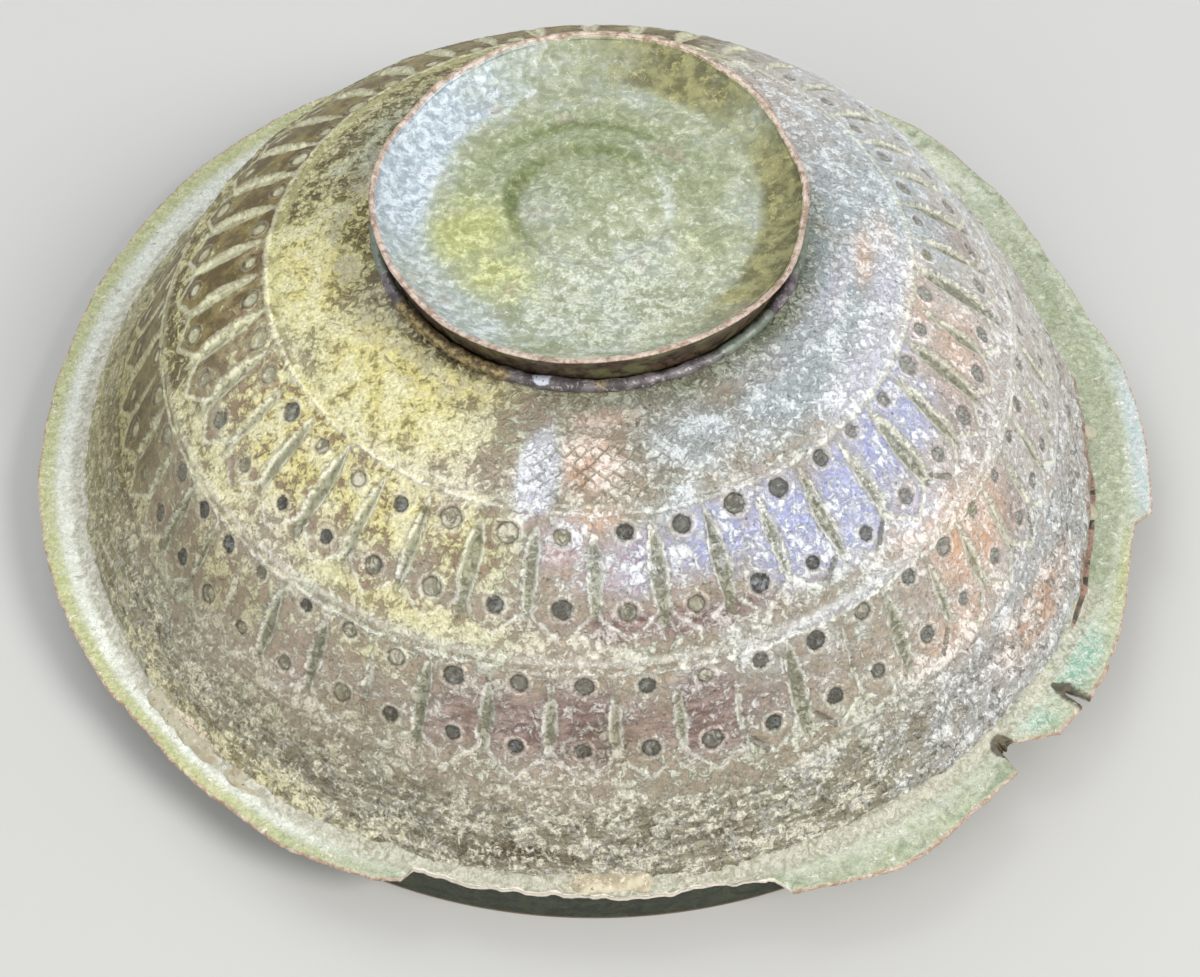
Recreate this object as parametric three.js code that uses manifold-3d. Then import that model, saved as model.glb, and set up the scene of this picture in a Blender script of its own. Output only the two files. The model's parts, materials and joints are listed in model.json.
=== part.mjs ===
import * as THREE from 'three';
import { mergeVertices } from 'three/addons/utils/BufferGeometryUtils.js';
import Module from 'manifold-3d';

// Tinned copper bowl, lying upside down: foot up, mouth down, standing on the collar of its rim.
// Millimetres, +Z up. The origin is the middle of the rim, on the surface that the bowl stands on.
// Azimuths start at -Y and turn towards +X.

// Clearance between pieces that are soldered together or rest on each other
const seatGap = 0.3;

// Rim: an outward flange on a short upright collar, one sheet, standing out past the bowl's mouth
const collarStandOut = 1.65;
const collarHeight = 8.9;
const collarThickness = 1.2;
const flangeThickness = 1.2;
const flangeWave = 0.35;
const holeAzimuth = 44.5;
const holeRadius = 0.9;
const holeInset = 0.6;

// Outline of the flange: azimuth in degrees, and how far the edge stands out from the collar
const flangeEdge = [
  [-17.4, 0.5], [-11, 0.8], [-5, 0.5], [2.7, 1.2], [8, 0.9], [12, 0.7], [14.4, 1.4], [17.2, 2.0],
  [18.4, 4.9], [28.6, 7.9], [41, 6.3], [53.3, 7.1], [53.5, 3.5], [53.95, 3.4], [54.3, 7.6],
  [63, 6.6], [71.7, 4.6], [76.4, 4.4], [78.3, 7.3], [88, 6.6], [97.5, 6.0], [104, 3.7], [113, 3.3],
  [128, 6.2], [139, 8.3], [152, 6.6], [165, 3.4], [180, 0.8], [195, 3.4], [207, 8.0], [216, 9.6],
  [232, 9.6], [249, 8.3], [259, 7.1], [268, 6.8], [277, 7.1], [288, 6.7], [300, 5.9], [312, 4.6],
  [318, 5.0], [324, 4.8], [331, 5.3], [340, 3.8], [341.8, 3.0],
];

// Bowl wall: a superellipse from the neck of the foot down to the mouth
const mouthRadius = 92.65;
const collarRadius = mouthRadius + collarStandOut;
const domeHeight = 52.95;
const wallFullness = 3.3;
const crownFullness = 1.0;
const sheetThickness = 1.4;
const hollowDepth = 1.5;
const hollowReach = 38;
const dentDepth = 0.25;
const bowlOffset = -0.8;

// Where the wall is pushed out (+) or in (-): azimuth in degrees, distance along the wall from the
// neck, half width in degrees, half length along the wall, and how far
const bulges = [
  { azimuth: 175, distance: 42, halfWidth: 42, halfLength: 18, lift: 0.9 },
  { azimuth: 118, distance: 60, halfWidth: 26, halfLength: 20, lift: -1.7 },
];

// Belts of the wall, as distances along it from the neck of the foot
const lobesFrom = 3.7;
const lobesLength = 7.2;
const lobeCount = 24;
const lobeDepth = 0.45;
const hatchedBeltLength = 10.7;
const bandOneLength = 20.1;
const ridgeBeltLength = 4.8;
const ridgeRise = 0.5;
const bandTwoLength = 18.5;
const ringLineInset = 1.8;
const ringLineDepth = 0.35;
const ringLineHalfWidth = 0.8;
const crustDepth = 0.3;
const crustLumps = 23;

// Chased panels of the two bands, each with a punched pit near either end. The panels drift to
// and fro round the bowl by the sway, in degrees.
const panelMargin = 0.8;
const channelDepth = 0.5;
const pitDepth = 0.75;
const pitSides = 7;
const panelsOne = {
  count: 42, azimuth: 5.1, sway: 1.0, share: 0.68, tipLength: 3.0, pitRadius: 1.75, pitInset: 2.5,
  tipInset: 4.2,
};
const panelsTwo = {
  count: 52, azimuth: -0.6, sway: 1.9, share: 0.76, tipLength: 3.4, pitRadius: 1.6, pitInset: 2.0,
  tipInset: 5.2,
};

// Foot: a flared ring of sheet
const neckRadius = 33.4;
const footHeight = 8.0;
const footThickness = 1.1;
const footFlare = 1.5;

// Outline of the foot's bent edge: azimuth in degrees, and how far it stands out from the neck
const footEdge = [
  [-54, 2.5], [-35, 3.4], [-14, 3.5], [8, 2.9], [40, 2.6], [57, 2.8], [80, 1.7], [88, 1.9],
  [109, 1.3], [137, 3.3], [160, 4.7], [196, 4.1], [218, 2.5], [240, 1.5], [256, 1.9], [285, 2.1],
];

// Underside of the bowl's bottom inside the foot, from the wall's start inwards: a sloping
// shoulder, a flat floor, a sunk pan with a round ridge on it, and a low boss in the middle
const wallStartInset = 0.4;
const shoulderWidth = 4.6;
const floorInset = 2.2;
const floorRise = 4.4;
const panInset = 4.8;
const panDepth = 0.35;
const ridgeRingInset = 6.8;
const ridgeRingHalfWidth = 2.1;
const ridgeRingRise = 1.0;
const bossInset = 3.0;
const bossRise = 1.2;
const wallStartRadius = neckRadius - wallStartInset;
const floorRadius = wallStartRadius - shoulderWidth - floorInset;
const panRadius = floorRadius - panInset;
const ridgeRingRadius = panRadius - ridgeRingInset;
const bossRadius = ridgeRingRadius - bossInset;

// Solder: the fillet inside the foot, the bead round its neck, and what is left of the rim's seam
const filletRise = 2.6;
const filletLip = 1.0;
const beadRadius = 0.95;
const beadSides = 7;
const seamHeight = 2.0;
const seamWidth = 1.9;
const tabHeight = 2.4;
const tabWidth = 2.3;

// Fineness of the facets
const rimColumns = 58;
const footColumns = 48;
const innerColumns = 48;
const columnsPerRadius = 1.9;
const fewestColumns = 16;
const seamStep = 4;

const fullTurn = 2 * Math.PI;
const flangeTop = collarHeight + flangeThickness;
const mouthHeight = flangeTop + seatGap;
const radians = THREE.MathUtils.degToRad;

class WallCurve extends THREE.Curve {
  getPoint(t, target = new THREE.Vector3()) {
    const start = Math.asin((wallStartRadius / mouthRadius) ** (wallFullness / 2));
    const angle = THREE.MathUtils.lerp(start, Math.PI / 2, t);
    const radius = mouthRadius * Math.sin(angle) ** (2 / wallFullness);
    const height = domeHeight * Math.max(Math.cos(angle), 0) ** (2 / crownFullness);
    return target.set(radius, 0, mouthHeight + height);
  }
}

const wall = new WallCurve();
wall.arcLengthDivisions = 600;
const wallLength = wall.getLength();
const wallStart = wall.getPoint(0);

function around(azimuth, radius, height) {
  return new THREE.Vector3(radius * Math.sin(azimuth), -radius * Math.cos(azimuth), height);
}

// How far the wall stands out from the plain curve: a hollow above the mouth all the way round,
// broad shallow dents, and the bulges, none of them at the neck or the mouth
function unevenness(azimuth, distance) {
  const fade = Math.sin(Math.PI * distance / wallLength) ** 2;
  const waves = Math.sin(3 * azimuth + 0.7) + 0.6 * Math.sin(5 * azimuth + 2.1);
  const inHollow = Math.max(distance - wallLength + hollowReach, 0) / hollowReach;
  const pushed = bulges.reduce((sum, bulge) => {
    const turn = azimuth - radians(bulge.azimuth);
    const across = Math.atan2(Math.sin(turn), Math.cos(turn)) / radians(bulge.halfWidth);
    const along = (distance - bulge.distance) / bulge.halfLength;
    return sum + bulge.lift * Math.exp(-(across ** 2) - along ** 2);
  }, 0);
  const ends = THREE.MathUtils.smoothstep(wallLength - distance, 0, hollowReach / 3);
  return (dentDepth * waves + pushed * ends) * fade - hollowDepth * Math.sin(Math.PI * inHollow) ** 2;
}

// Radius and height of the wall at a distance along it, lifted square to it
function wallSection(distance, lift) {
  const share = THREE.MathUtils.clamp(distance / wallLength, 0, 1);
  const point = wall.getPointAt(share);
  const tangent = wall.getTangentAt(share);
  return new THREE.Vector2(point.x - tangent.z * lift, point.z + tangent.x * lift);
}

function onWall(azimuth, distance, relief = 0) {
  const section = wallSection(distance, relief + unevenness(azimuth, distance));
  return around(azimuth, section.x, section.y);
}

// Distance along the wall at which it has a given radius, by halving
function wallDistanceAtRadius(radius) {
  let near = 0;
  let far = wallLength;
  for (let step = 0; step < 40; step += 1) {
    const middle = (near + far) / 2;
    if (wall.getPointAt(middle / wallLength).x < radius) {
      near = middle;
    } else {
      far = middle;
    }
  }
  return near;
}

// A closed outline given as [azimuth in degrees, offset], eased from each point to the next
function outlineOffset(outline, azimuth) {
  const degrees = THREE.MathUtils.euclideanModulo(
    THREE.MathUtils.radToDeg(azimuth) - outline[0][0], 360) + outline[0][0];
  const next = outline.findIndex(([angle]) => angle > degrees);
  const [toAngle, toOffset] = next < 0 ? [outline[0][0] + 360, outline[0][1]] : outline[next];
  const [fromAngle, fromOffset] = outline.at(next < 0 ? -1 : next - 1);
  const share = THREE.MathUtils.smoothstep(degrees, fromAngle, toAngle);
  return THREE.MathUtils.lerp(fromOffset, toOffset, share);
}

function geometryFrom(faces) {
  const geometry = new THREE.BufferGeometry().setFromPoints(faces.flat());
  return mergeVertices(geometry, 1e-4);
}

// A ring of evenly spaced points
function ring(columns, place) {
  const azimuths = evenAzimuths(columns);
  return { azimuths, points: azimuths.map((azimuth) => place(azimuth)) };
}

// Faces between two rings with any numbers of points, seen from the side where the second ring
// lies outside the first
function stitch(inner, outer) {
  const faces = [];
  const azimuthAt = ({ azimuths }, index) => (
    azimuths[index % azimuths.length] + fullTurn * Math.floor(index / azimuths.length));
  const pointAt = ({ points }, index) => points[index % points.length];
  let a = 0;
  let b = 0;
  while (a < inner.points.length || b < outer.points.length) {
    const innerDone = a >= inner.points.length;
    const outerDone = b >= outer.points.length;
    const innerFirst = azimuthAt(inner, a + 1) < azimuthAt(outer, b + 1);
    if (outerDone || (innerFirst && !innerDone)) {
      faces.push([pointAt(inner, a), pointAt(outer, b), pointAt(inner, a + 1)]);
      a += 1;
    } else {
      faces.push([pointAt(inner, a), pointAt(outer, b), pointAt(outer, b + 1)]);
      b += 1;
    }
  }
  return faces;
}

function stitchAll(rings) {
  return rings.slice(1).flatMap((outer, index) => stitch(rings[index], outer));
}

function fan(centre, { points }) {
  return points.map((point, index) => [centre, point, points[(index + 1) % points.length]]);
}

function flipped(faces) {
  return faces.map(([a, b, c]) => [a, c, b]);
}

// Faces over a flat layout of corners { flat, solid }, with holes
function paved(contour, holes = []) {
  const corners = [...contour, ...holes.flat()];
  const layout = (list) => list.map((corner) => corner.flat.clone());
  const triples = THREE.ShapeUtils.triangulateShape(layout(contour), holes.map(layout));
  return triples.map((triple) => {
    const [a, b, c] = triple.map((index) => corners[index]);
    const turn = b.flat.clone().sub(a.flat).cross(c.flat.clone().sub(a.flat));
    return turn > 0 ? [a.solid, b.solid, c.solid] : [a.solid, c.solid, b.solid];
  });
}

// Where each chased band starts and ends along the wall
const bandOneFrom = lobesFrom + lobesLength + hatchedBeltLength;
const bandOneTo = bandOneFrom + bandOneLength;
const bandTwoFrom = bandOneTo + ridgeBeltLength;
const bandTwoTo = bandTwoFrom + bandTwoLength;
const bandOne = { ...panelsOne, from: bandOneFrom, to: bandOneTo };
const bandTwo = { ...panelsTwo, from: bandTwoFrom, to: bandTwoTo };

// The azimuth of a band's nth half pitch: even ones are channels, odd ones are panel middles
function bandAzimuth(band, halfPitches) {
  const step = halfPitches % (2 * band.count);
  const even = radians(band.azimuth) + Math.PI * (step - 1) / band.count;
  return even + radians(band.sway) * Math.sin(2 * even);
}

function bandRing(band, distance) {
  const azimuths = Array.from({ length: 2 * band.count }, (_, column) => bandAzimuth(band, column));
  return { azimuths, points: azimuths.map((azimuth) => onWall(azimuth, distance, -channelDepth)) };
}

// A corner in one panel's cell. The layout's rows are bowed a little and its sides are drawn in at
// the waist, so that no three corners that follow each other are in line, and so that no face spans
// a side that two cells share.
function cellCorner(band, offset, distance, position) {
  const rowBow = 0.02;
  const waist = 0.4;
  const fromMiddle = (distance - (band.from + band.to) / 2) / (band.to - band.from);
  const meanRadius = (neckRadius + mouthRadius) / 2;
  const width = offset * meanRadius * (1 + waist * fromMiddle ** 2);
  return { flat: new THREE.Vector2(distance + rowBow * width ** 2, width), solid: position };
}

function channelCorner(band, cell, side, distance) {
  const azimuth = bandAzimuth(band, 2 * cell + 1 + side);
  const position = onWall(azimuth, distance, -channelDepth);
  return cellCorner(band, side * Math.PI / band.count, distance, position);
}

function panelCorner(band, cell, offset, distance, relief = 0) {
  const position = onWall(bandAzimuth(band, 2 * cell + 1) + offset, distance, relief);
  return cellCorner(band, offset, distance, position);
}

function pitOutline(band, cell, distance) {
  const radius = wallSection(distance, 0).x;
  return Array.from({ length: pitSides }, (_, side) => {
    const angle = fullTurn * (side + 0.5) / pitSides;
    const offset = band.pitRadius * Math.sin(angle) / radius;
    return panelCorner(band, cell, offset, distance + band.pitRadius * Math.cos(angle));
  });
}

// One panel, square at the foot's end and pointed at the mouth's, in its cell of sunk channel
function cellFaces(band, cell) {
  const halfPanel = band.share * Math.PI / band.count;
  const start = band.from + panelMargin;
  const tip = band.to - panelMargin;
  const shoulder = tip - band.tipLength;
  const pits = [start + band.pitInset, tip - band.tipInset];
  const middle = (pits[0] + pits[1]) / 2;
  const sideRows = [band.from, pits[0], middle, pits[1], band.to];
  const cellOutline = [
    ...sideRows.map((distance) => channelCorner(band, cell, -1, distance)),
    channelCorner(band, cell, 0, band.to),
    ...sideRows.toReversed().map((distance) => channelCorner(band, cell, 1, distance)),
    channelCorner(band, cell, 0, band.from),
  ];
  const panelRows = [start, pits[0] + band.pitRadius, middle, pits[1] - band.pitRadius, shoulder];
  const panelOutline = [
    ...panelRows.map((distance) => panelCorner(band, cell, -halfPanel, distance)),
    panelCorner(band, cell, 0, tip),
    ...panelRows.toReversed().map((distance) => panelCorner(band, cell, halfPanel, distance)),
  ];
  const pitOutlines = pits.map((distance) => pitOutline(band, cell, distance));
  const pitFaces = pits.flatMap((distance, index) => {
    const deepest = panelCorner(band, cell, 0, distance, -pitDepth).solid;
    return fan(deepest, { points: pitOutlines[index].map((corner) => corner.solid) });
  });
  return [
    ...paved(cellOutline, [panelOutline]),
    ...paved(panelOutline, pitOutlines),
    ...pitFaces,
  ];
}

function bandFaces(band) {
  return Array.from({ length: band.count }, (_, cell) => cellFaces(band, cell)).flat();
}

// Profile of the bottom inside the foot, from the axis out to the start of the wall
function bottomProfile() {
  const floor = wallStart.z + floorRise;
  const pan = floor - panDepth;
  const ridgeInner = ridgeRingRadius - ridgeRingHalfWidth;
  const shoulderFoot = floorRadius + shoulderWidth;
  return [
    [0, pan + bossRise],
    [bossRadius * 0.6, pan + bossRise * 0.75],
    [bossRadius, pan + bossRise * 0.2],
    [ridgeInner, pan],
    [ridgeRingRadius, pan + ridgeRingRise],
    [ridgeRingRadius + ridgeRingHalfWidth, pan],
    [panRadius - panDepth, pan],
    [panRadius + panDepth, floor],
    [floorRadius, floor],
    [floorRadius + shoulderWidth * 0.25, floor - floorRise * 0.12],
    [floorRadius + shoulderWidth * 0.6, wallStart.z + floorRise * 0.3],
    [shoulderFoot, wallSection(0, 0).y + (wallStart.x - shoulderFoot) * 0.2],
    [wallStart.x, wallStart.z],
  ].map(([radius, height]) => new THREE.Vector2(radius, height));
}

// The same profile moved square to itself, to give the other face of the sheet
function offsetProfile(profile, distance) {
  return profile.map((point, index) => {
    const before = profile[Math.max(index - 1, 0)];
    const after = profile[Math.min(index + 1, profile.length - 1)];
    const along = after.clone().sub(before).normalize();
    const radius = index === 0 ? 0 : point.x - along.y * distance;
    return new THREE.Vector2(radius, point.y + along.x * distance);
  });
}

function bottomRings(profile) {
  return profile.slice(1).map((point) => {
    const columns = Math.max(Math.round(point.x * columnsPerRadius), fewestColumns);
    return ring(columns, (azimuth) => around(azimuth, point.x, point.y));
  });
}

// Lobes like shallow petals round the foot: hollows between ridges
function lobeRelief(azimuth) {
  return -lobeDepth * (0.5 + 0.5 * Math.cos(lobeCount * azimuth));
}

// Lumps of corrosion crust above the mouth
function crustRelief(azimuth) {
  return crustDepth * Math.sin(crustLumps * azimuth) * Math.cos(9 * azimuth);
}

function wallOutside() {
  const plainOne = 2 * bandOne.count;
  const plainTwo = 2 * bandTwo.count;
  const lobeMiddle = lobesFrom + lobesLength / 2;
  const lobesTo = lobesFrom + lobesLength;
  const ridgeMiddle = bandOneTo + ridgeBeltLength / 2;
  const ridgeHalf = ridgeBeltLength / 4;
  const ringLine = bandTwoTo + ringLineInset;
  const crustFrom = ringLine + ringLineHalfWidth;
  const crustMiddle = (wallLength + crustFrom) / 2;
  const plain = (columns, distance, relief) => ring(
    columns, (azimuth) => onWall(azimuth, distance, relief));
  const crust = (distance) => ring(
    plainTwo, (azimuth) => onWall(azimuth, distance, crustRelief(azimuth)));
  const toBandOne = [
    plain(plainOne, lobesFrom, 0),
    ring(4 * lobeCount, (azimuth) => onWall(azimuth, lobeMiddle, lobeRelief(azimuth))),
    plain(plainOne, lobesTo, 0),
    plain(plainOne, bandOneFrom - panelMargin, 0),
    bandRing(bandOne, bandOneFrom),
  ];
  const betweenBands = [
    bandRing(bandOne, bandOneTo),
    plain(plainOne, ridgeMiddle - ridgeHalf, 0),
    plain(plainOne, ridgeMiddle, ridgeRise),
    plain(plainTwo, ridgeMiddle + ridgeHalf, 0),
    bandRing(bandTwo, bandTwoFrom),
  ];
  const toMouth = [
    bandRing(bandTwo, bandTwoTo),
    plain(plainTwo, ringLine - ringLineHalfWidth, 0),
    plain(plainTwo, ringLine, -ringLineDepth),
    plain(plainTwo, crustFrom, 0),
    crust(crustMiddle),
    plain(plainTwo, wallLength, 0),
  ];
  return { toBandOne, betweenBands, toMouth };
}

// The sheet's edge at the mouth is level, so it is a little wider than the sheet is thick
const mouthSquare = wallSection(wallLength, 1).x - mouthRadius;
const mouthInnerRadius = mouthRadius - sheetThickness / mouthSquare;

function wallInside() {
  const shares = [0, 0.13, 0.28, 0.44, 0.6, 0.76, 0.9];
  return [
    ...shares.map((share) => ring(
      innerColumns, (azimuth) => onWall(azimuth, share * wallLength, -sheetThickness))),
    ring(innerColumns, (azimuth) => around(azimuth, mouthInnerRadius, mouthHeight)),
  ];
}

function bowlBody() {
  const outerProfile = bottomProfile();
  const innerProfile = offsetProfile(outerProfile, -sheetThickness);
  const outerBottom = bottomRings(outerProfile);
  const innerBottom = bottomRings(innerProfile.slice(0, -1));
  const { toBandOne, betweenBands, toMouth } = wallOutside();
  const inside = [...innerBottom, ...wallInside()];
  const outerPole = around(0, 0, outerProfile[0].y);
  const innerPole = around(0, 0, innerProfile[0].y);
  return geometryFrom([
    ...fan(outerPole, outerBottom[0]),
    ...stitchAll([...outerBottom, ...toBandOne]),
    ...bandFaces(bandOne),
    ...stitchAll(betweenBands),
    ...bandFaces(bandTwo),
    ...stitchAll(toMouth),
    ...stitch(toMouth.at(-1), inside.at(-1)),
    ...flipped(stitchAll(inside)),
    ...flipped(fan(innerPole, inside[0])),
  ]);
}

// A closed band round the axis, from one closed section of [radius, height] pairs per azimuth,
// listed so that the section runs clockwise with the axis on its left
function sweptRing(azimuths, section) {
  const sections = azimuths.map((azimuth) => (
    section(azimuth).map(([radius, height]) => around(azimuth, radius, height))));
  return geometryFrom(sections.flatMap((here, index) => (
    skirt(here, sections[(index + 1) % sections.length]))));
}

function skirt(here, next) {
  return here.flatMap((point, index) => {
    const after = (index + 1) % here.length;
    return [[point, next[index], next[after]], [point, next[after], here[after]]];
  });
}

// A length of such a band, closed at both ends
function sweptArc(azimuths, section) {
  const sections = azimuths.map((azimuth) => section(azimuth));
  const sides = sections.slice(1).flatMap((next, index) => skirt(sections[index], next));
  const cap = (points) => points.slice(2).map((point, index) => [points[0], points[index + 1], point]);
  return geometryFrom([...sides, ...cap(sections[0]), ...flipped(cap(sections.at(-1)))]);
}

function evenAzimuths(columns) {
  return Array.from({ length: columns }, (_, column) => fullTurn * column / columns);
}

// Levels at which the foot's curved wall has a row of corners
const footLevels = [0, 0.35, 0.7, 1].map((share) => share * footHeight);

// Radius of the foot's outer face: it flares from the neck to the bent edge
function footRadius(azimuth, height) {
  const share = THREE.MathUtils.clamp(height / footHeight, 0, 1);
  return neckRadius + outlineOffset(footEdge, azimuth) * share ** footFlare;
}

const footBase = wallSection(wallDistanceAtRadius(neckRadius), 0).y + seatGap;

function footRing() {
  return sweptRing(evenAzimuths(footColumns), (azimuth) => [
    ...footLevels.map((height) => [footRadius(azimuth, height), footBase + height]),
    ...footLevels.toReversed().map((height) => (
      [footRadius(azimuth, height) - footThickness, footBase + height])),
  ]);
}

// Inner solder fillet: lies on the bowl's shoulder and climbs the inner face of the foot
function footSolder() {
  const bottom = offsetProfile(bottomProfile(), seatGap);
  const [floorEdge, bend, slope, shoulder] = bottom.slice(-5, -1);
  const floorTop = floorEdge.y + filletLip * 0.3;
  const top = floorEdge.y + filletRise - footBase;
  const middle = (floorEdge.y + top + footBase) / 2 - filletLip * 0.4;
  const levels = [...footLevels.slice(1).filter((height) => height < top - seatGap), top];
  return sweptRing(evenAzimuths(footColumns), (azimuth) => {
    const inside = (height) => footRadius(azimuth, height) - footThickness - seatGap;
    return [
      [floorEdge.x, floorEdge.y],
      [bend.x, bend.y],
      [slope.x, slope.y],
      [shoulder.x, shoulder.y],
      [inside(0), footBase + seatGap],
      ...levels.map((height) => [inside(height), footBase + height]),
      [(floorEdge.x + inside(top)) / 2, middle],
      [floorEdge.x + filletLip, floorTop],
    ];
  });
}

// Bead of solder in the corner between the foot's neck and the wall, clear of the foot's flare
function footBead() {
  const widestEdge = Math.max(...footEdge.map(([, offset]) => offset));
  const flare = widestEdge * (beadRadius / footHeight) ** footFlare;
  const centreRadius = neckRadius + flare + beadRadius + seatGap;
  const distance = wallDistanceAtRadius(centreRadius);
  const centreHeight = wallSection(distance, seatGap + beadRadius).y;
  return sweptRing(evenAzimuths(footColumns), (azimuth) => (
    Array.from({ length: beadSides }, (_, side) => {
      const angle = fullTurn * side / beadSides;
      const swell = 1 - 0.08 * Math.cos(7 * azimuth);
      return [
        centreRadius + beadRadius * swell * Math.cos(angle),
        centreHeight + beadRadius * swell * Math.sin(angle),
      ];
    })));
}

// Azimuths of the rim's sections: even ones, and one at each point of the flange's outline
function rimAzimuths() {
  const corners = flangeEdge.map(([degrees]) => THREE.MathUtils.euclideanModulo(degrees, 360));
  const even = evenAzimuths(rimColumns).map(THREE.MathUtils.radToDeg);
  const spacing = 360 / rimColumns;
  const kept = even.filter((degrees) => corners.every((corner) => (
    Math.abs(corner - degrees) > spacing / 4)));
  return [...kept, ...corners].sort((a, b) => a - b).map(radians);
}

function rimRing(solids) {
  const flangeAndCollar = sweptRing(rimAzimuths(), (azimuth) => {
    const edge = collarRadius + outlineOffset(flangeEdge, azimuth);
    const wave = flangeWave * Math.sin(4 * azimuth + 0.4) * Math.sin(azimuth / 2) ** 2;
    return [
      [collarRadius - collarThickness, 0],
      [collarRadius, 0],
      [collarRadius, collarHeight],
      [edge, collarHeight + wave],
      [edge, flangeTop + wave],
      [collarRadius, flangeTop],
      [mouthInnerRadius, flangeTop],
      [mouthInnerRadius, collarHeight],
      [collarRadius - collarThickness, collarHeight],
    ];
  });
  const punch = new THREE.CylinderGeometry(holeRadius, holeRadius, 4 * flangeThickness, 8);
  punch.rotateX(Math.PI / 2);
  const holeCentre = collarRadius + holeInset + holeRadius;
  const place = around(radians(holeAzimuth), holeCentre, collarHeight + flangeThickness / 2);
  punch.translate(place.x, place.y, place.z);
  const cut = solids.from(flangeAndCollar).subtract(solids.from(punch));
  return solids.geometryOf(cut);
}

// A length of solder in the corner between the wall's mouth and the flange
function rimSolder(fromDegrees, toDegrees, height, width) {
  const steps = Math.max(Math.ceil((toDegrees - fromDegrees) / seamStep), 2);
  const azimuths = Array.from({ length: steps + 1 }, (_, step) => (
    radians(THREE.MathUtils.lerp(fromDegrees, toDegrees, step / steps))));
  return sweptArc(azimuths, (azimuth) => {
    const foot = wallSection(wallLength, seatGap);
    const base = flangeTop + seatGap;
    const top = wallSection(wallLength - height, seatGap);
    return [
      around(azimuth, foot.x, base),
      around(azimuth, foot.x + width, base),
      around(azimuth, foot.x + width * 0.7, base + height * 0.55),
      around(azimuth, top.x, top.y),
    ];
  });
}

// Booleans: three.js geometry to solid and back
async function solidKit() {
  const wasm = await Module();
  wasm.setup();
  return {
    from(geometry) {
      const plain = geometry.clone();
      plain.deleteAttribute('normal');
      plain.deleteAttribute('uv');
      const merged = mergeVertices(plain, 1e-4);
      return new wasm.Manifold(new wasm.Mesh({
        numProp: 3,
        vertProperties: new Float32Array(merged.attributes.position.array),
        triVerts: new Uint32Array(merged.index.array),
      }));
    },
    geometryOf(solid) {
      const mesh = solid.getMesh();
      const geometry = new THREE.BufferGeometry();
      geometry.setAttribute('position', new THREE.BufferAttribute(mesh.vertProperties, 3));
      geometry.setIndex(new THREE.BufferAttribute(mesh.triVerts, 1));
      return geometry;
    },
  };
}

function piece(name, geometry, color, roughness, metalness) {
  geometry.computeVertexNormals();
  const material = new THREE.MeshStandardMaterial({ color, roughness, metalness });
  const mesh = new THREE.Mesh(geometry, material);
  mesh.name = name;
  return mesh;
}

const solids = await solidKit();
const patina = 0x86866a;
const verdigris = 0x8fa07c;
const greyTin = 0x8d928a;
const darkSolder = 0x5d5860;
const tanSolder = 0xa8966f;

const bowl = new THREE.Group();
const bowlAndFoot = new THREE.Group();
bowlAndFoot.position.x = bowlOffset;
bowlAndFoot.add(
  piece('bowl_body', bowlBody(), patina, 0.6, 0.55),
  piece('foot_ring', footRing(), greyTin, 0.5, 0.6),
  piece('foot_solder', footSolder(), greyTin, 0.55, 0.5),
  piece('foot_bead', footBead(), darkSolder, 0.5, 0.5),
  piece('rim_seam_front', rimSolder(-3, 6.4, seamHeight, seamWidth), tanSolder, 0.75, 0.2),
  piece('rim_seam_left', rimSolder(-52, -34, seamHeight, seamWidth), tanSolder, 0.75, 0.2),
  piece('rim_seam_back', rimSolder(140, 222, seamHeight, seamWidth), tanSolder, 0.75, 0.2),
  piece('rim_tab_upper', rimSolder(87.2, 89.4, tabHeight, tabWidth), tanSolder, 0.75, 0.2),
  piece('rim_tab_lower', rimSolder(75.8, 77.8, tabHeight, tabWidth), tanSolder, 0.75, 0.2),
);
bowl.add(bowlAndFoot, piece('rim_ring', rimRing(solids), verdigris, 0.7, 0.35));

export default bowl;
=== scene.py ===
import itertools
import json
import math

import bpy
import numpy as np
from mathutils import Matrix, Vector

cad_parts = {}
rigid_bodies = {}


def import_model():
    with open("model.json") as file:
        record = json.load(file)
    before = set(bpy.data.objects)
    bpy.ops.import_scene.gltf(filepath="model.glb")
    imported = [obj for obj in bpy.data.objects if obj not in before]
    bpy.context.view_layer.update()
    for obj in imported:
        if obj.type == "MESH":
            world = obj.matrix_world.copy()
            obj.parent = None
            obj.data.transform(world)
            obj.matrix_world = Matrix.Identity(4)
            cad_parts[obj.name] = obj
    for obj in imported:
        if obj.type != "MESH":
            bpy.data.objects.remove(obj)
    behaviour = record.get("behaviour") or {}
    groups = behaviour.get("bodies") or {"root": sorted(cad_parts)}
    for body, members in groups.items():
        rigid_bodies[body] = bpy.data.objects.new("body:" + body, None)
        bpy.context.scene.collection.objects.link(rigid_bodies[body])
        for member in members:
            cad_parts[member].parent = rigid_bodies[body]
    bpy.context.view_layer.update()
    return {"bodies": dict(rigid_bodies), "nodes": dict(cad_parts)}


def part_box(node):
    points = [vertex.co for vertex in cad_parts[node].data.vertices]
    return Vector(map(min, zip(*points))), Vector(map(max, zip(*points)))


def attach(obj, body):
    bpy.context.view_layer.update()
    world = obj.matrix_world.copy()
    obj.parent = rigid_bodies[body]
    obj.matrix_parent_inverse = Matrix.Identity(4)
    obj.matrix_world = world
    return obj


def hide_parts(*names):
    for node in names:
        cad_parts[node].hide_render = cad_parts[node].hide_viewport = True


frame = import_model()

# Looks of the tinned copper bowl, lying upside down on its rim.
# Lengths here are in millimetres, and meshes are made in metres. Azimuths start at the front (-Y)
# and turn towards +X, in degrees in the lists and in radians in the functions.

MM = 0.001
FULL_TURN = 2 * math.pi

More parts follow.
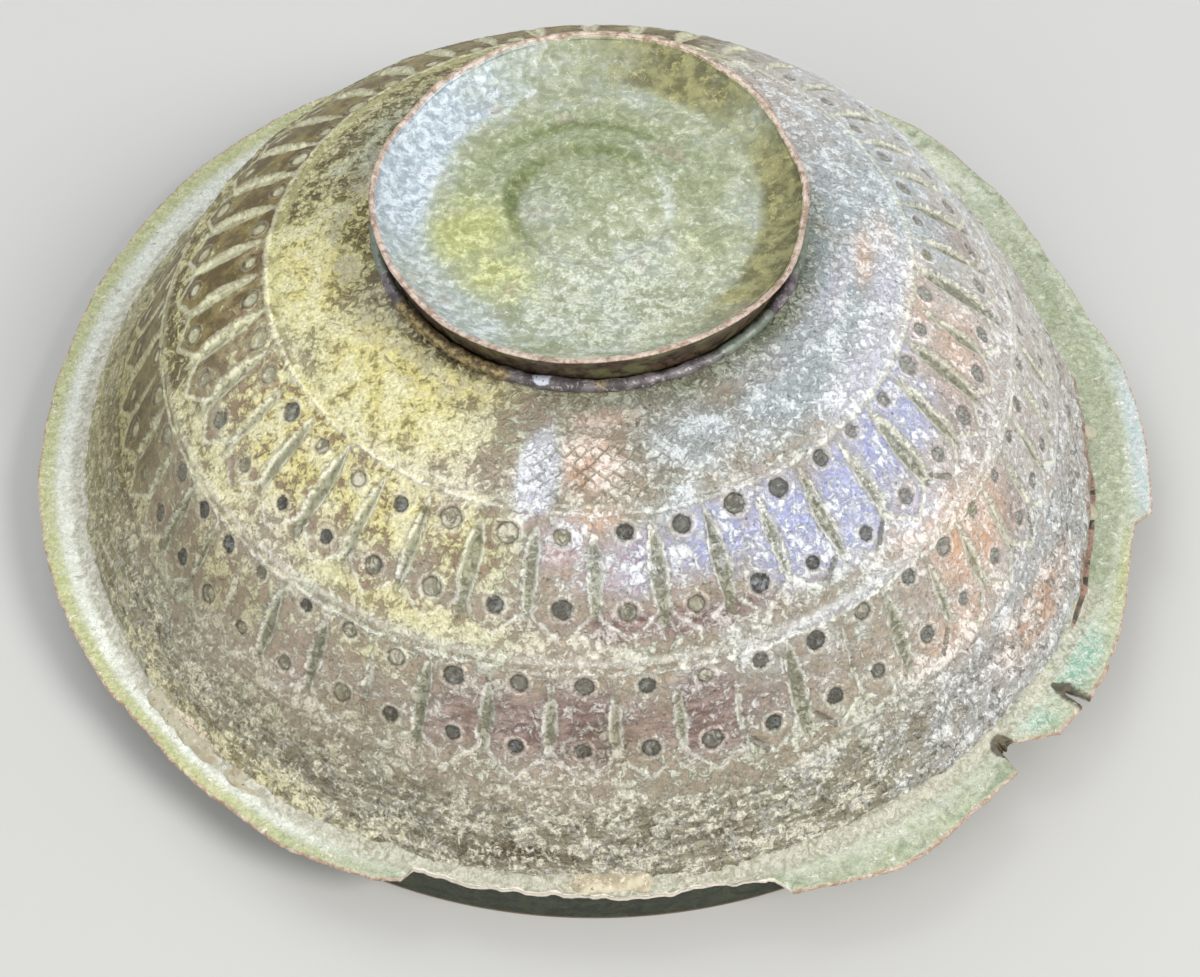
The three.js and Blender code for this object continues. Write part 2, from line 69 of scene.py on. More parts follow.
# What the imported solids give
bowl_low, bowl_high = (np.array(corner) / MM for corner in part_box("bowl_body"))
foot_low, foot_high = (np.array(corner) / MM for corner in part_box("foot_ring"))
BOWL_OFFSET = float(bowl_low[0] + bowl_high[0]) / 2
MOUTH_HEIGHT = bowl_low[2]
FOOT_BASE = foot_low[2]
FOOT_TOP = foot_high[2]

# Bowl wall: a superellipse from the neck of the foot down to the mouth, hollowed above the mouth
MOUTH_RADIUS = 92.65
DOME_HEIGHT = 52.95
WALL_FULLNESS = 3.3
CROWN_FULLNESS = 1.0
WALL_START_RADIUS = 33.0
SHEET_THICKNESS = 1.4
HOLLOW_DEPTH = 1.5
HOLLOW_REACH = 38
DENT_DEPTH = 0.25
# Where the wall is pushed out or in: azimuth, distance along it, half widths and how far
BULGES = [(175, 42, 42, 18, 0.9), (118, 60, 26, 20, -1.7)]

# Belts of the wall, as distances along it from the neck of the foot, measured at the front
LOBES_MIDDLE = 7.5
LOBES_LENGTH = 5.6
LOBE_COUNT = 24
LOBE_DEPTH = 0.45
HATCHED_FROM = 11.0
BAND_ONE = dict(
    start=22.1, end=41.0, count=42, azimuth=5.1, sway=1.0, lens_middle=9.6, lens_half=8.4,
    lens_width=1.35, tip=4.0, pit_radius=1.55, pit_inset=2.9, near_sway=1.1, pit_tip_inset=4.4,
    seed=11)
BAND_TWO = dict(
    start=46.4, end=64.2, count=52, azimuth=-0.6, sway=1.9, lens_middle=8.6, lens_half=7.4,
    lens_width=1.15, tip=4.4, pit_radius=1.45, pit_inset=1.8, near_sway=0.0, pit_tip_inset=5.3,
    seed=23)
BAND_FADE = (1.2, 0.2)
CHANNEL_DEPTH = 0.62
PIT_DEPTH = 0.6
MARK_DEPTH = 0.3
LINE_SWELL = 0.12
RIDGE_MIDDLE = 44.4
RIDGE_RISE = 0.5
RING_LINES = (20.7, 65.6)
RING_LINE_DEPTH = 0.2
CRUST_FROM = 66.8
SIDE_DROP = 1.5
HATCH_LINES = 116
HATCH_PITCH = 2.2

# How far the mouth is pushed in or out of round: azimuth and radial offset
MOUTH_OUTLINE = [
    (-180, 0.0), (-110, 0.0), (-81, -0.3), (-60, 0.4), (-38, 1.0), (-15, 0.3), (5, 0.3), (41, 1.2),
    (57, 1.4), (65, 0.5), (71, -0.6), (78, -1.4), (95, -2.2), (104, -3.0), (112, -2.6), (128, -0.8),
    (145, 0.0), (180, 0.0),
]
# Where the torn edge of the mouth stands off the rim: azimuth and gap
MOUTH_GAP = [
    (-180, 0.1), (64, 0.1), (68, 0.8), (75, 0.5), (82, 0.8), (90, 0.9), (98, 0.3), (104, 0.1),
    (180, 0.1),
]

# Bottom of the bowl inside the foot: radius and height
FLOOR_HEIGHT = bowl_high[2] - 0.85
BOTTOM_PROFILE = [
    (0, 0.75), (5, 0.65), (8.6, 0.3), (11.2, -0.5), (12.6, -0.2), (14.2, 0.6), (16.2, 0.0), (18.4, -0.45),
    (20.6, -0.3), (21.8, 0.0), (26.2, 0.0), (27.4, -0.5), (29.0, -3.1), (30.8, -4.1), (33.0, -4.4),
]

# Rim: flange on a short upright collar
COLLAR_RADIUS = 94.3
COLLAR_HEIGHT = 8.9
SHEET_RIM = 1.2
FLANGE_TOP = COLLAR_HEIGHT + SHEET_RIM
TORN_FRONT = (-18.5, -16.5, 17.5, 19)
HOLE_AZIMUTH = 44.5
HOLE_INSET = 1.5
HOLE_RADIUS = 0.95

# Foot and its solder
NECK_RADIUS = 33.4
FOOT_THICKNESS = 1.1
FOOT_FLARE = 1.5
FILLET_RISE = 2.6
FILLET_LIP_RADIUS = 25.2
BEAD_RADIUS = 0.95

# Solder of the seam: piece, node, start and end azimuth, height, width, how grey, and its seed
SEAMS = [
    ("seam_front", "rim_seam_front", -3, 6.4, 1.7, 2.0, 0.1, 101),
    ("seam_left", "rim_seam_left", -52, -34, 1.5, 1.8, 0.55, 111),
    ("seam_back", "rim_seam_back", 140, 222, 1.6, 1.8, 0.5, 121),
    ("tab_upper", "rim_tab_upper", 87.0, 89.6, 1.5, 2.3, 0.8, 131),
    ("tab_lower", "rim_tab_lower", 75.6, 78.0, 1.5, 2.1, 0.8, 141),
]
# Its cross-section: shares of the width and of the height
SEAM_PROFILE = [
    (0.0, 0.0), (0.55, 0.0), (1.0, 0.0), (1.02, 0.22), (0.9, 0.46), (0.7, 0.66), (0.45, 0.84), (0.2, 0.97),
    (0.0, 1.0),
]

# Stains of the wall: azimuth, distance along the wall, half widths, strength
STAINS = dict(
    # frost: white crust, with painted bluish-white sheen on band one and the upper right
    frost=[
        (30, 30, 8, 10, 1.0), (42, 31, 8, 9, 1.0), (19, 28, 7, 7, 0.85), (60, 20, 16, 6, 0.9),
        (78, 17, 15, 4, 0.8), (-9, 16, 3.6, 7, 1.4), (26, 70, 10, 5, 0.2), (-4, 27, 5, 5, 0.9),
        (6, 30, 12, 6, 0.85), (50, 40, 8, 4, 0.7), (38, 37, 10, 5, 0.9), (58, 28, 9, 8, 0.8),
        (51, 28, 8, 8, 0.9), (46, 74, 18, 9, 0.3), (72, 9, 14, 3, 0.8), (34, 45, 14, 1.6, 0.7),
        (40, 79, 12, 3, 0.4)],
    # cool: blue-grey tint, with painted bluish sheen on the upper right
    cool=[
        (78, 8, 50, 12, 1.0), (48, 13, 26, 8, 0.9), (22, 12, 16, 8, 0.7), (105, 22, 34, 14, 0.8),
        (130, 45, 40, 24, 0.6), (100, 26, 24, 10, 0.7), (28, 70, 26, 8, 0.2), (60, 72, 26, 14, 0.6),
        (15, 5, 22, 4, 0.5), (16, 22, 10, 6, 0.6), (22, 48, 18, 14, 0.4)],
    copper=[
        (0, 14, 7, 5, 1.0), (1, 23, 5, 3, 0.8), (3, 7, 8, 2, 0.8), (50, 42, 8, 5, 0.9), (55, 51, 9, 9, 1.0),
        (48, 62, 11, 6, 0.6), (84, 13, 12, 3, 0.7), (80, 24, 14, 5, 0.6), (76, 32, 12, 8, 0.6),
        (58, 73, 12, 5, 0.8), (-44, 80, 6, 2, 0.6), (92, 17, 10, 3, 0.5)],
    bare=[
        (6, 55, 36, 9, 1.1), (-25, 57, 18, 9, 0.8), (8, 39, 24, 3, 1.0), (-36, 37, 14, 6, 0.4),
        (70, 36, 16, 9, 0.5), (62, 56, 18, 9, 0.5), (95, 36, 20, 9, 0.5)],
    shade=[
        (-84, 62, 26, 18, 0.8), (-35, 68, 26, 7, 0.6), (-54, 60, 20, 14, 0.7), (12, 3, 40, 4, 0.8),
        (52, 3, 16, 4, 0.8), (-62, 74, 30, 9, 0.5), (75, 3, 34, 5, 0.5), (-140, 60, 30, 20, 0.5),
        (180, 70, 40, 12, 0.4), (-14, 62, 10, 4, 0.4), (2, 58, 7, 6, 0.6), (-27, 61, 8, 4, 0.7),
        (-18, 84, 10, 3, 0.7), (16, 84, 12, 3, 0.6)],
    # soil: dark brown crust, and painted shade where the foot meets the wall
    soil=[
        (-40, 1.5, 22, 3.6, 1.0), (-60, 2, 9, 3.0, 0.6), (12, 0.5, 24, 2.2, 0.75), (40, 1, 20, 2.4, 0.6),
        (-8, 77, 12, 2.6, 0.75), (12, 75, 7, 2, 0.55), (-30, 74, 10, 2, 0.5), (10, 8, 9, 1.4, 0.5),
        (32, 9, 8, 1.2, 0.45), (-75, 58, 8, 8, 0.4)],
    rose=[(-4, 30, 13, 14, 1.0), (12, 36, 8, 5, 0.8), (8, 55, 40, 10, 0.8)],
    # moss: green patina, darkened as painted shade next to the foot
    moss=[(62, 1.5, 34, 4, 0.9), (98, 3, 24, 5, 0.6), (28, 3, 20, 4, 0.6), (-124, 9, 28, 10, 0.5)],
)
YELLOW_STAINS = [
    (-120, 10, 22, 8, 0.45), (-50, 53, 18, 9, 0.5), (-28, 50, 14, 5, 0.45), (-72, 27, 14, 8, 0.6),
    (-20, 12, 9, 8, 0.45), (-96, 9, 12, 8, 0.6), (-42, 80, 24, 7, 0.55), (-45, 12, 26, 12, 1.0),
    (-52, 28, 20, 13, 1.0), (-30, 5, 16, 7, 0.8), (-34, 28, 15, 9, 0.9), (-80, 14, 18, 10, 1.0),
    (-28, 41, 24, 5, 0.6), (-58, 43, 16, 8, 0.55), (-90, 22, 10, 7, 0.45), (-18, 29, 9, 9, 0.7),
]

# Meshes: columns of corners round each piece, rows down the wall outside and inside, and how much
# of the outer relief shows inside
WALL_COLUMNS = 640
RIM_COLUMNS = 900
FOOT_COLUMNS = 480
FILLET_COLUMNS = 400
BEAD_COLUMNS = 420
BEAD_SIDES = 16
OUTER_SPACING = 0.775
INNER_SPACING = 2.4
INNER_RELIEF = 0.35

# Camera: where it looks, from how far and how steeply, in millimetres and degrees
CAMERA_AIM = (0.95, 0.0, -11.41)
CAMERA_DISTANCE = 386.2
CAMERA_ELEVATION = 53.566
CAMERA_ROLL = 0.11
CAMERA_LENS = 60.0
SENSOR_WIDTH = 36.0

# Studio, in metres and watts. Lamps: name, azimuth, elevation, size, power and colour
LAMP_DISTANCE = 1.5
LAMPS = [
    ("key", 58, 42, 0.6, 18, (1.0, 0.985, 0.96)),
    ("back", -150, 45, 1.1, 9, (0.92, 0.96, 1.0)),
    ("fill", -40, 30, 1.2, 9, (1.0, 0.99, 0.95)),
]
WORLD_COLOUR = (0.93, 0.96, 1.0, 1.0)
WORLD_STRENGTH = 0.63
FLOOR_HALF = 3.0
FLOOR_COLOUR = "#b9b8b5"


def smooth_step(value, low, high):
    share = np.clip((value - low) / (high - low), 0, 1)
    return share * share * (3 - 2 * share)


def plateau(value, start, full, ease, end):
    """Rises from 0 at start to 1 at full, and falls from 1 at ease to 0 at end."""
    return smooth_step(value, start, full) * smooth_step(value, end, ease)


def hill(value, middle, width):
    """1 where the value is at the middle, falling off over the width."""
    return np.exp(-((value - middle) / width) ** 2)


def lattice_values(lattice, seed):
    """A repeatable value from -1 to 1 for each whole-number corner of a lattice."""
    bits = 0xFFFFFFFF
    mixed = (lattice[:, 0] * 73856093) ^ (lattice[:, 1] * 19349663) ^ (lattice[:, 2] * 83492791)
    mixed = (mixed ^ (seed * 374761393)) & bits
    for shift, factor in ((13, 1274126177), (16, 668265263)):
        mixed = ((mixed ^ (mixed >> shift)) * factor) & bits
    return (mixed ^ (mixed >> 15)) / (bits / 2) - 1


def lumps(points, size, seed):
    """Smooth noise from -1 to 1 at points, with lumps of about this size."""
    cell = points / size
    base = np.floor(cell).astype(np.int64)
    inner = cell - base
    inner = inner * inner * (3 - 2 * inner)
    total = np.zeros(len(points))
    for corner in itertools.product((0, 1), repeat=3):
        weight = np.prod(np.where(corner, inner, 1 - inner), axis=1)
        total += weight * lattice_values(base + corner, seed)
    return total


def rugged(points, size, seed, octaves=3):
    """Lumps of this size with finer lumps on them."""
    total = np.zeros(len(points))
    for octave in range(octaves):
        total += 0.55 ** octave * lumps(points, size / 2 ** octave, seed + octave)
    return total


def degrees_from(azimuth, centre=0):
    """The turn from a centre to an azimuth, in degrees from -180 to 180."""
    return (np.degrees(azimuth) - centre + 180) % 360 - 180


def along_outline(outline, azimuth):
    """Offset at each azimuth, eased between the points of a closed outline."""
    degrees, offsets = np.array(outline, float).T
    wanted = degrees_from(azimuth)
    index = np.clip(np.searchsorted(degrees, wanted, side="right") - 1, 0, len(degrees) - 2)
    share = smooth_step(wanted, degrees[index], degrees[index + 1])
    return offsets[index] + (offsets[index + 1] - offsets[index]) * share


def around(azimuth, radius, height, offset=0.0):
    """Points at an azimuth, radius and height, on an axis moved sideways by offset."""
    azimuth, radius, height = np.broadcast_arrays(azimuth, radius, height)
    return np.stack(
        [offset + radius * np.sin(azimuth), -radius * np.cos(azimuth), height], axis=-1)


def polar(points, offset=0.0):
    """Radius and azimuth of points round that axis."""
    x, y = points[:, 0] - offset, points[:, 1]
    return np.hypot(x, y), np.arctan2(x, -y)


def columns_round(count):
    return np.arange(count) * FULL_TURN / count


def wall_curve(samples=3000):
    start = math.asin((WALL_START_RADIUS / MOUTH_RADIUS) ** (WALL_FULLNESS / 2))
    angle = np.linspace(start, math.pi / 2, samples)
    radius = MOUTH_RADIUS * np.sin(angle) ** (2 / WALL_FULLNESS)
    height = MOUTH_HEIGHT + DOME_HEIGHT * np.clip(np.cos(angle), 0, 1) ** (2 / CROWN_FULLNESS)
    along = np.concatenate([[0], np.cumsum(np.hypot(np.diff(radius), np.diff(height)))])
    return along, radius, height, np.gradient(radius, along), np.gradient(height, along)


CURVE_ALONG, CURVE_RADIUS, CURVE_HEIGHT, CURVE_OUT, CURVE_UP = wall_curve()
WALL_LENGTH = CURVE_ALONG[-1]


def wall_radius(along):
    return np.interp(along, CURVE_ALONG, CURVE_RADIUS)


def wall_section(along, lift):
    """Radius and height of the wall at a distance along it, lifted square to it."""
    out, up, height = (np.interp(along, CURVE_ALONG, part) for part in (CURVE_OUT, CURVE_UP, CURVE_HEIGHT))
    return wall_radius(along) - up * lift, height + out * lift


# The sheet is cut level at the mouth, so its edge there is wider than the sheet is thick
MOUTH_SLOPE = wall_section(WALL_LENGTH, 1.0)[0] - MOUTH_RADIUS
LEDGE_RADIUS = MOUTH_RADIUS - SHEET_THICKNESS / MOUTH_SLOPE
MOUTH_LEAN = CURVE_OUT[-1] / MOUTH_SLOPE
HOLE = around(math.radians(HOLE_AZIMUTH), COLLAR_RADIUS + HOLE_INSET, COLLAR_HEIGHT)


def soft_spot(azimuth, along, centre, place, width, length):
    """1 at an azimuth and a distance along the wall, falling off over the half widths."""
    turn = degrees_from(azimuth, centre)
    return np.exp(-(turn / width) ** 2 - ((along - place) / length) ** 2)


def unevenness(azimuth, along):
    """How far the wall stands out from the plain curve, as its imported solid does."""
    fade = np.sin(np.pi * np.clip(along / WALL_LENGTH, 0, 1)) ** 2
    waves = np.sin(3 * azimuth + 0.7) + 0.6 * np.sin(5 * azimuth + 2.1)
    in_hollow = np.maximum(along - WALL_LENGTH + HOLLOW_REACH, 0) / HOLLOW_REACH
    pushed = sum(lift * soft_spot(azimuth, along, *spot) for *spot, lift in BULGES)
    pushed = pushed * smooth_step(WALL_LENGTH - along, 0, HOLLOW_REACH / 3)
    return (DENT_DEPTH * waves + pushed) * fade - HOLLOW_DEPTH * np.sin(np.pi * in_hollow) ** 2


def ornament_distance(azimuth, along):
    """Distance along the wall in the ornament, which lies lower at the sides than at the front."""
    lower = SIDE_DROP * np.minimum(1 - np.cos(azimuth), 1)
    return along - lower * plateau(along, 26, 38, 66, 80)


def band_pattern(band, azimuth, along):
    """Where each point lies in a band of panels, whose neighbours are parted by lens-shaped channels.
    Gives distances, negative inside, to the panel's edge, to the channel (positive inside it), to
    the nearest punched circle and to the nearest chisel mark, and random tones."""
    count, tip = band["count"], band["tip"]
    draw = np.random.default_rng(band["seed"])
    shift = draw.normal(0, 0.3, count)
    pit_sizes = band["pit_radius"] * draw.uniform(0.72, 1.12, (2, count))
    pit_across = draw.normal(0, 0.32, (2, count))
    pit_along = draw.normal(0, 0.35, (2, count))
    pit_tones = draw.uniform(0, 1, (2, count))
    panel_tones = draw.uniform(0, 1, count)
    chisel = draw.uniform(0, 1, (2, count))
    lens_sizes = draw.uniform(0.7, 1.2, count)

    pitch = 360 / count
    turns = (np.degrees(azimuth) - band["sway"] * np.sin(2 * azimuth) - band["azimuth"]) / pitch
    cell = np.round(turns).astype(int) % count
    radius = wall_radius(along)
    across = ((turns - np.round(turns)) * pitch - shift[cell]) * math.pi / 180 * radius
    half_pitch = math.pi * radius / count

    length = band["end"] - band["start"]
    place = along - band["start"]
    far = 1 - ((place - band["lens_middle"]) / band["lens_half"]) ** 2
    channel = np.abs(across) - half_pitch + band["lens_width"] * lens_sizes[cell] * far
    tip_side = (np.abs(across) - half_pitch * 0.9 * (length - place) / tip) * 0.7
    edge = np.maximum(np.maximum(channel, tip_side), -place)

    pit, mark = np.full((2, len(azimuth)), 9.0)
    pit_tone = np.zeros(len(azimuth))
    near = band["pit_inset"] - band["near_sway"] * np.sin(2 * azimuth)
    for row, centre in enumerate((near, length - band["pit_tip_inset"])):
        reach = np.hypot(across - pit_across[row][cell], place - centre - pit_along[row][cell])
        found = reach - pit_sizes[row][cell]
        pit_tone = np.where(found < pit, pit_tones[row][cell], pit_tone)
        pit = np.minimum(pit, found)

    for side, sign in enumerate((-1, 1)):
        start = np.stack([sign * half_pitch * 0.75, np.full(len(azimuth), length - tip * 0.85)])
        end = np.stack([sign * half_pitch * 0.2, np.full(len(azimuth), length - 0.6)])
        way = end - start
        here = np.stack([across, place]) - start
        share = np.clip((here * way).sum(0) / (way * way).sum(0), 0, 1)
        found = np.hypot(*(here - way * share)) - 0.45
        struck = (chisel[side][cell] > 0.7) & (np.abs(turns * pitch) < 70)
        mark = np.where(struck, np.minimum(mark, found), mark)
    return edge, channel, pit, mark, panel_tones[cell], pit_tone


def blobs(patches, azimuth, along):
    """Soft stains: each is an azimuth, a distance along the wall, half widths and a strength."""
    total = np.zeros(len(azimuth))
    for *spot, strength in patches:
        total = np.maximum(total, strength * soft_spot(azimuth, along, *spot))
    return total


def rows_between(start, end, spacing):
    """Evenly spaced rows from start up to, but not including, end."""
    count = max(round(abs(end - start) / spacing), 1)
    return list(start + (end - start) * np.arange(count) / count)


def ring_faces(first, first_count, second, second_count):
    """Faces from one ring of corners to the next, which has as many, twice as many or half."""
    j = np.arange(min(first_count, second_count))
    after = (j + 1) % len(j)
    even, odd, last = 2 * j, 2 * j + 1, 2 * after
    if first_count == second_count:
        groups = [(first + j, second + j, second + after, first + after)]
    elif second_count > first_count:
        groups = [(first + j, second + even, second + odd), (first + j, second + odd, first + after),
                  (first + after, second + odd, second + last)]
    else:
        groups = [(first + even, second + j, first + odd), (first + odd, second + j, second + after),
                  (first + odd, second + after, first + last)]
    return [face for group in groups for face in np.stack(group, 1).tolist()]


def add_to_scene(name, data):
    thing = bpy.data.objects.new(name, data)
    bpy.context.scene.collection.objects.link(thing)
    return thing


def new_mesh(name, points, faces):
    mesh = bpy.data.meshes.new(name)
    mesh.from_pydata((points * MM).tolist(), [], faces)
    mesh.validate()
    mesh.update()
    mesh.shade_smooth()
    return add_to_scene(name, mesh)


def paint(piece, **masks):
    for name, values in masks.items():
        attribute = piece.data.attributes.new(name, "FLOAT", "POINT")
        values = np.broadcast_to(np.asarray(values, np.float32), len(piece.data.vertices))
        attribute.data.foreach_set("value", values)


def corners_of(piece, what="co"):
    """The mesh's corners in millimetres, or its normals there."""
    found = np.empty(len(piece.data.vertices) * 3, np.float32)
    piece.data.vertices.foreach_get(what, found)
    found = found.reshape(-1, 3).astype(float)
    return found / MM if what == "co" else found


def roughen(piece, move):
    """Moves each corner square to the surface, as far as move() says for its place."""
    points = corners_of(piece)
    points = points + corners_of(piece, "normal") * move(points)[:, None]
    piece.data.vertices.foreach_set("co", (points * MM).astype(np.float32).ravel())
    piece.data.update()


def swept_mesh(name, azimuth, rows, offset, closed=True):
    """A band round the axis. Its rows are pairs of radius and height, for all azimuths or for each,
    and run anticlockwise with the axis on their left. A band that isn't closed has flat ends."""
    section = [[np.broadcast_to(part, azimuth.shape) for part in row] for row in rows]
    section = np.array(section).transpose(2, 0, 1)
    columns, sides = section.shape[:2]
    points = around(azimuth[:, None], section[..., 0], section[..., 1], offset).reshape(-1, 3)
    spans = columns if closed else columns - 1
    i, j = (grid.ravel() for grid in np.meshgrid(np.arange(spans), np.arange(sides), indexing="ij"))
    here, after, up = i * sides, (i + 1) % columns * sides, (j + 1) % sides
    faces = np.stack([here + j, after + j, after + up, here + up], 1).tolist()
    if not closed:
        last = (columns - 1) * sides
        faces += [list(range(sides)), [last + side for side in reversed(range(sides))]]
    return new_mesh(name, points, faces)


def linear(code):
    """A colour code as linear red, green, blue and one."""
    parts = [int(code[i:i + 2], 16) / 255 for i in (1, 3, 5)]
    return [c / 12.92 if c <= 0.04045 else ((c + 0.055) / 1.055) ** 2.4 for c in parts] + [1.0]


class Value:
    """A socket in a material's node tree. Values add and multiply, and a | b is the larger."""

    def __init__(self, paint, socket):
        self.paint = paint
        self.socket = socket

    def __add__(self, other):
        return self.paint.math("ADD", self, other)

    def __sub__(self, other):
        return self.paint.math("SUBTRACT", self, other)

    def __rsub__(self, other):
        return self.paint.math("SUBTRACT", other, self)

    def __mul__(self, other):
        return self.paint.math("MULTIPLY", self, other)

    def __truediv__(self, other):
        return self.paint.math("DIVIDE", self, other)

    def __or__(self, other):
        return self.paint.math("MAXIMUM", self, other)


class Paint:
    """Builds one material's node tree from short calls. Sizes are in millimetres. A colour is a code,
    a value, or a value with the two colours that it goes between as it rises from 0.4 to 0.6, or
    between two other numbers that follow them."""

    def __init__(self, name):
        self.material = bpy.data.materials.new(name)
        self.material.use_nodes = True
        self.tree = self.material.node_tree
        self.tree.nodes.clear()
        output = self.new("ShaderNodeOutputMaterial")
        self.shader = self.new("ShaderNodeBsdfPrincipled")
        self.tree.links.new(self.shader.outputs["BSDF"], output.inputs["Surface"])
        coordinates = Value(self, self.new("ShaderNodeTexCoord").outputs["Object"])
        self.place = self.vector("SCALE", coordinates, scale=1 / MM)
        self.colour = None

    def new(self, kind, **settings):
        node = self.tree.nodes.new(kind)
        for key, value in settings.items():
            setattr(node, key, value)
        return node

    def put(self, value, socket):
        """Gives a socket a value's link, a colour or a number."""
        if isinstance(value, tuple):
            value = self.blend(*value)
        if isinstance(value, Value):
            self.tree.links.new(value.socket, socket)
        else:
            socket.default_value = linear(value) if isinstance(value, str) else value

    def math(self, operation, *values, clamp=False):
        node = self.new("ShaderNodeMath", operation=operation, use_clamp=clamp)
        for value, socket in zip(values, node.inputs):
            self.put(value, socket)
        return Value(self, node.outputs[0])

    def vector(self, operation, *values, scale=None):
        """Arithmetic on places, with constant vectors as lists."""
        node = self.new("ShaderNodeVectorMath", operation=operation)
        for value, socket in zip(values, node.inputs):
            self.put(value, socket)
        if scale:
            node.inputs["Scale"].default_value = scale
        return Value(self, node.outputs[0])

    def step(self, value, low, high):
        """Eased from 0 at low to 1 at high; low may be the larger."""
        node = self.new("ShaderNodeMapRange", interpolation_type="SMOOTHSTEP")
        bounds = (high, low, 1.0, 0.0) if low > high else (low, high, 0.0, 1.0)
        for number, name in zip(bounds, ("From Min", "From Max", "To Min", "To Max")):
            node.inputs[name].default_value = number
        self.put(value, node.inputs["Value"])
        return Value(self, node.outputs["Result"])

    def noise(self, size, detail=4.0, roughness=0.6, distortion=0.0, place=None):
        node = self.new("ShaderNodeTexNoise")
        numbers = dict(Scale=1 / size, Detail=detail, Roughness=roughness, Distortion=distortion)
        for name, number in numbers.items():
            node.inputs[name].default_value = number
        self.put(place or self.place, node.inputs["Vector"])
        return Value(self, node.outputs["Fac"])

    def masks(self, *names):
        """Values that are painted on the mesh."""
        return [Value(self, self.new("ShaderNodeAttribute", attribute_name=name).outputs["Fac"])
                for name in names]

    def patches(self, noise, low, high, weight, *names):
        """Painted stains with ragged edges: the mask plus noise, cut at a threshold."""
        return [self.step(mask + (noise - 0.5) * weight, low, high) for mask in self.masks(*names)]

    def mix(self, factor, first, second, blend="MIX"):
        node = self.new("ShaderNodeMix", data_type="RGBA", blend_type=blend)
        for value, socket in zip((factor, first, second), (0, 6, 7)):
            self.put(value, node.inputs[socket])
        return Value(self, node.outputs[2])

    def blend(self, value, first, second, low=0.4, high=0.6):
        """From one colour to another as a value rises from low to high."""
        return self.mix(self.step(value, low, high), first, second)

    def lay(self, *layers):
        """Lays tints on the colour, one after another: each with its mask and its strength."""
        for tint, mask, *strength in layers:
            self.colour = self.mix(mask * strength[0] if strength else mask, self.colour, tint)

    def crisp(self, strength):
        """Lays fine light and dark grains on the colour."""
        grains = self.blend(self.noise(0.8, 6, 0.8), "#8c8c8c", "#dedede", 0.38, 0.62)
        self.colour = self.mix(strength, self.colour, grains, "OVERLAY")

    def line(self, value, middle, half_width, soft):
        """1 on a line where value is within half_width of middle."""
        away = self.math("ABSOLUTE", value - middle)
        return self.step(away, half_width + soft, max(half_width - soft, 0.0))

    def wrapped(self, along, across, down):
        """Places in the wall's own surface, stretched: how long a grain is round it and down it."""
        centred = self.vector("MULTIPLY_ADD", self.place, [1, 1, 0], [-BOWL_OFFSET, 0, 0])
        turned = self.vector("SCALE", self.vector("NORMALIZE", centred), scale=MOUTH_RADIUS / across)
        sunk = self.new("ShaderNodeCombineXYZ")
        self.put(along / down, sunk.inputs["Z"])
        return self.vector("ADD", turned, Value(self, sunk.outputs[0]))

    def hatching(self, along, count):
        """Slanting cuts: as many lines round the bowl as count says, leaning by its sign."""
        place = self.new("ShaderNodeSeparateXYZ")
        self.put(self.place, place.inputs[0])
        x, y = (Value(self, place.outputs[axis]) for axis in "XY")
        turns = self.math("ARCTAN2", x - BOWL_OFFSET, y * -1.0) * (count / FULL_TURN)
        share = self.math("FRACT", turns + along / HATCH_PITCH)
        return self.line(share, 0.5, 0.12, 0.1)

    def finish(self, roughness, metallic, height, bump_depth):
        shader = self.shader.inputs
        bump = self.new("ShaderNodeBump")
        bump.inputs["Distance"].default_value = bump_depth * MM
        self.put(height, bump.inputs["Height"])
        normal = Value(self, bump.outputs["Normal"])
        settings = {"Base Color": self.colour, "Roughness": roughness, "Metallic": metallic, "Normal": normal}
        for name, value in settings.items():
            self.put(value, shader[name])
        return self.material


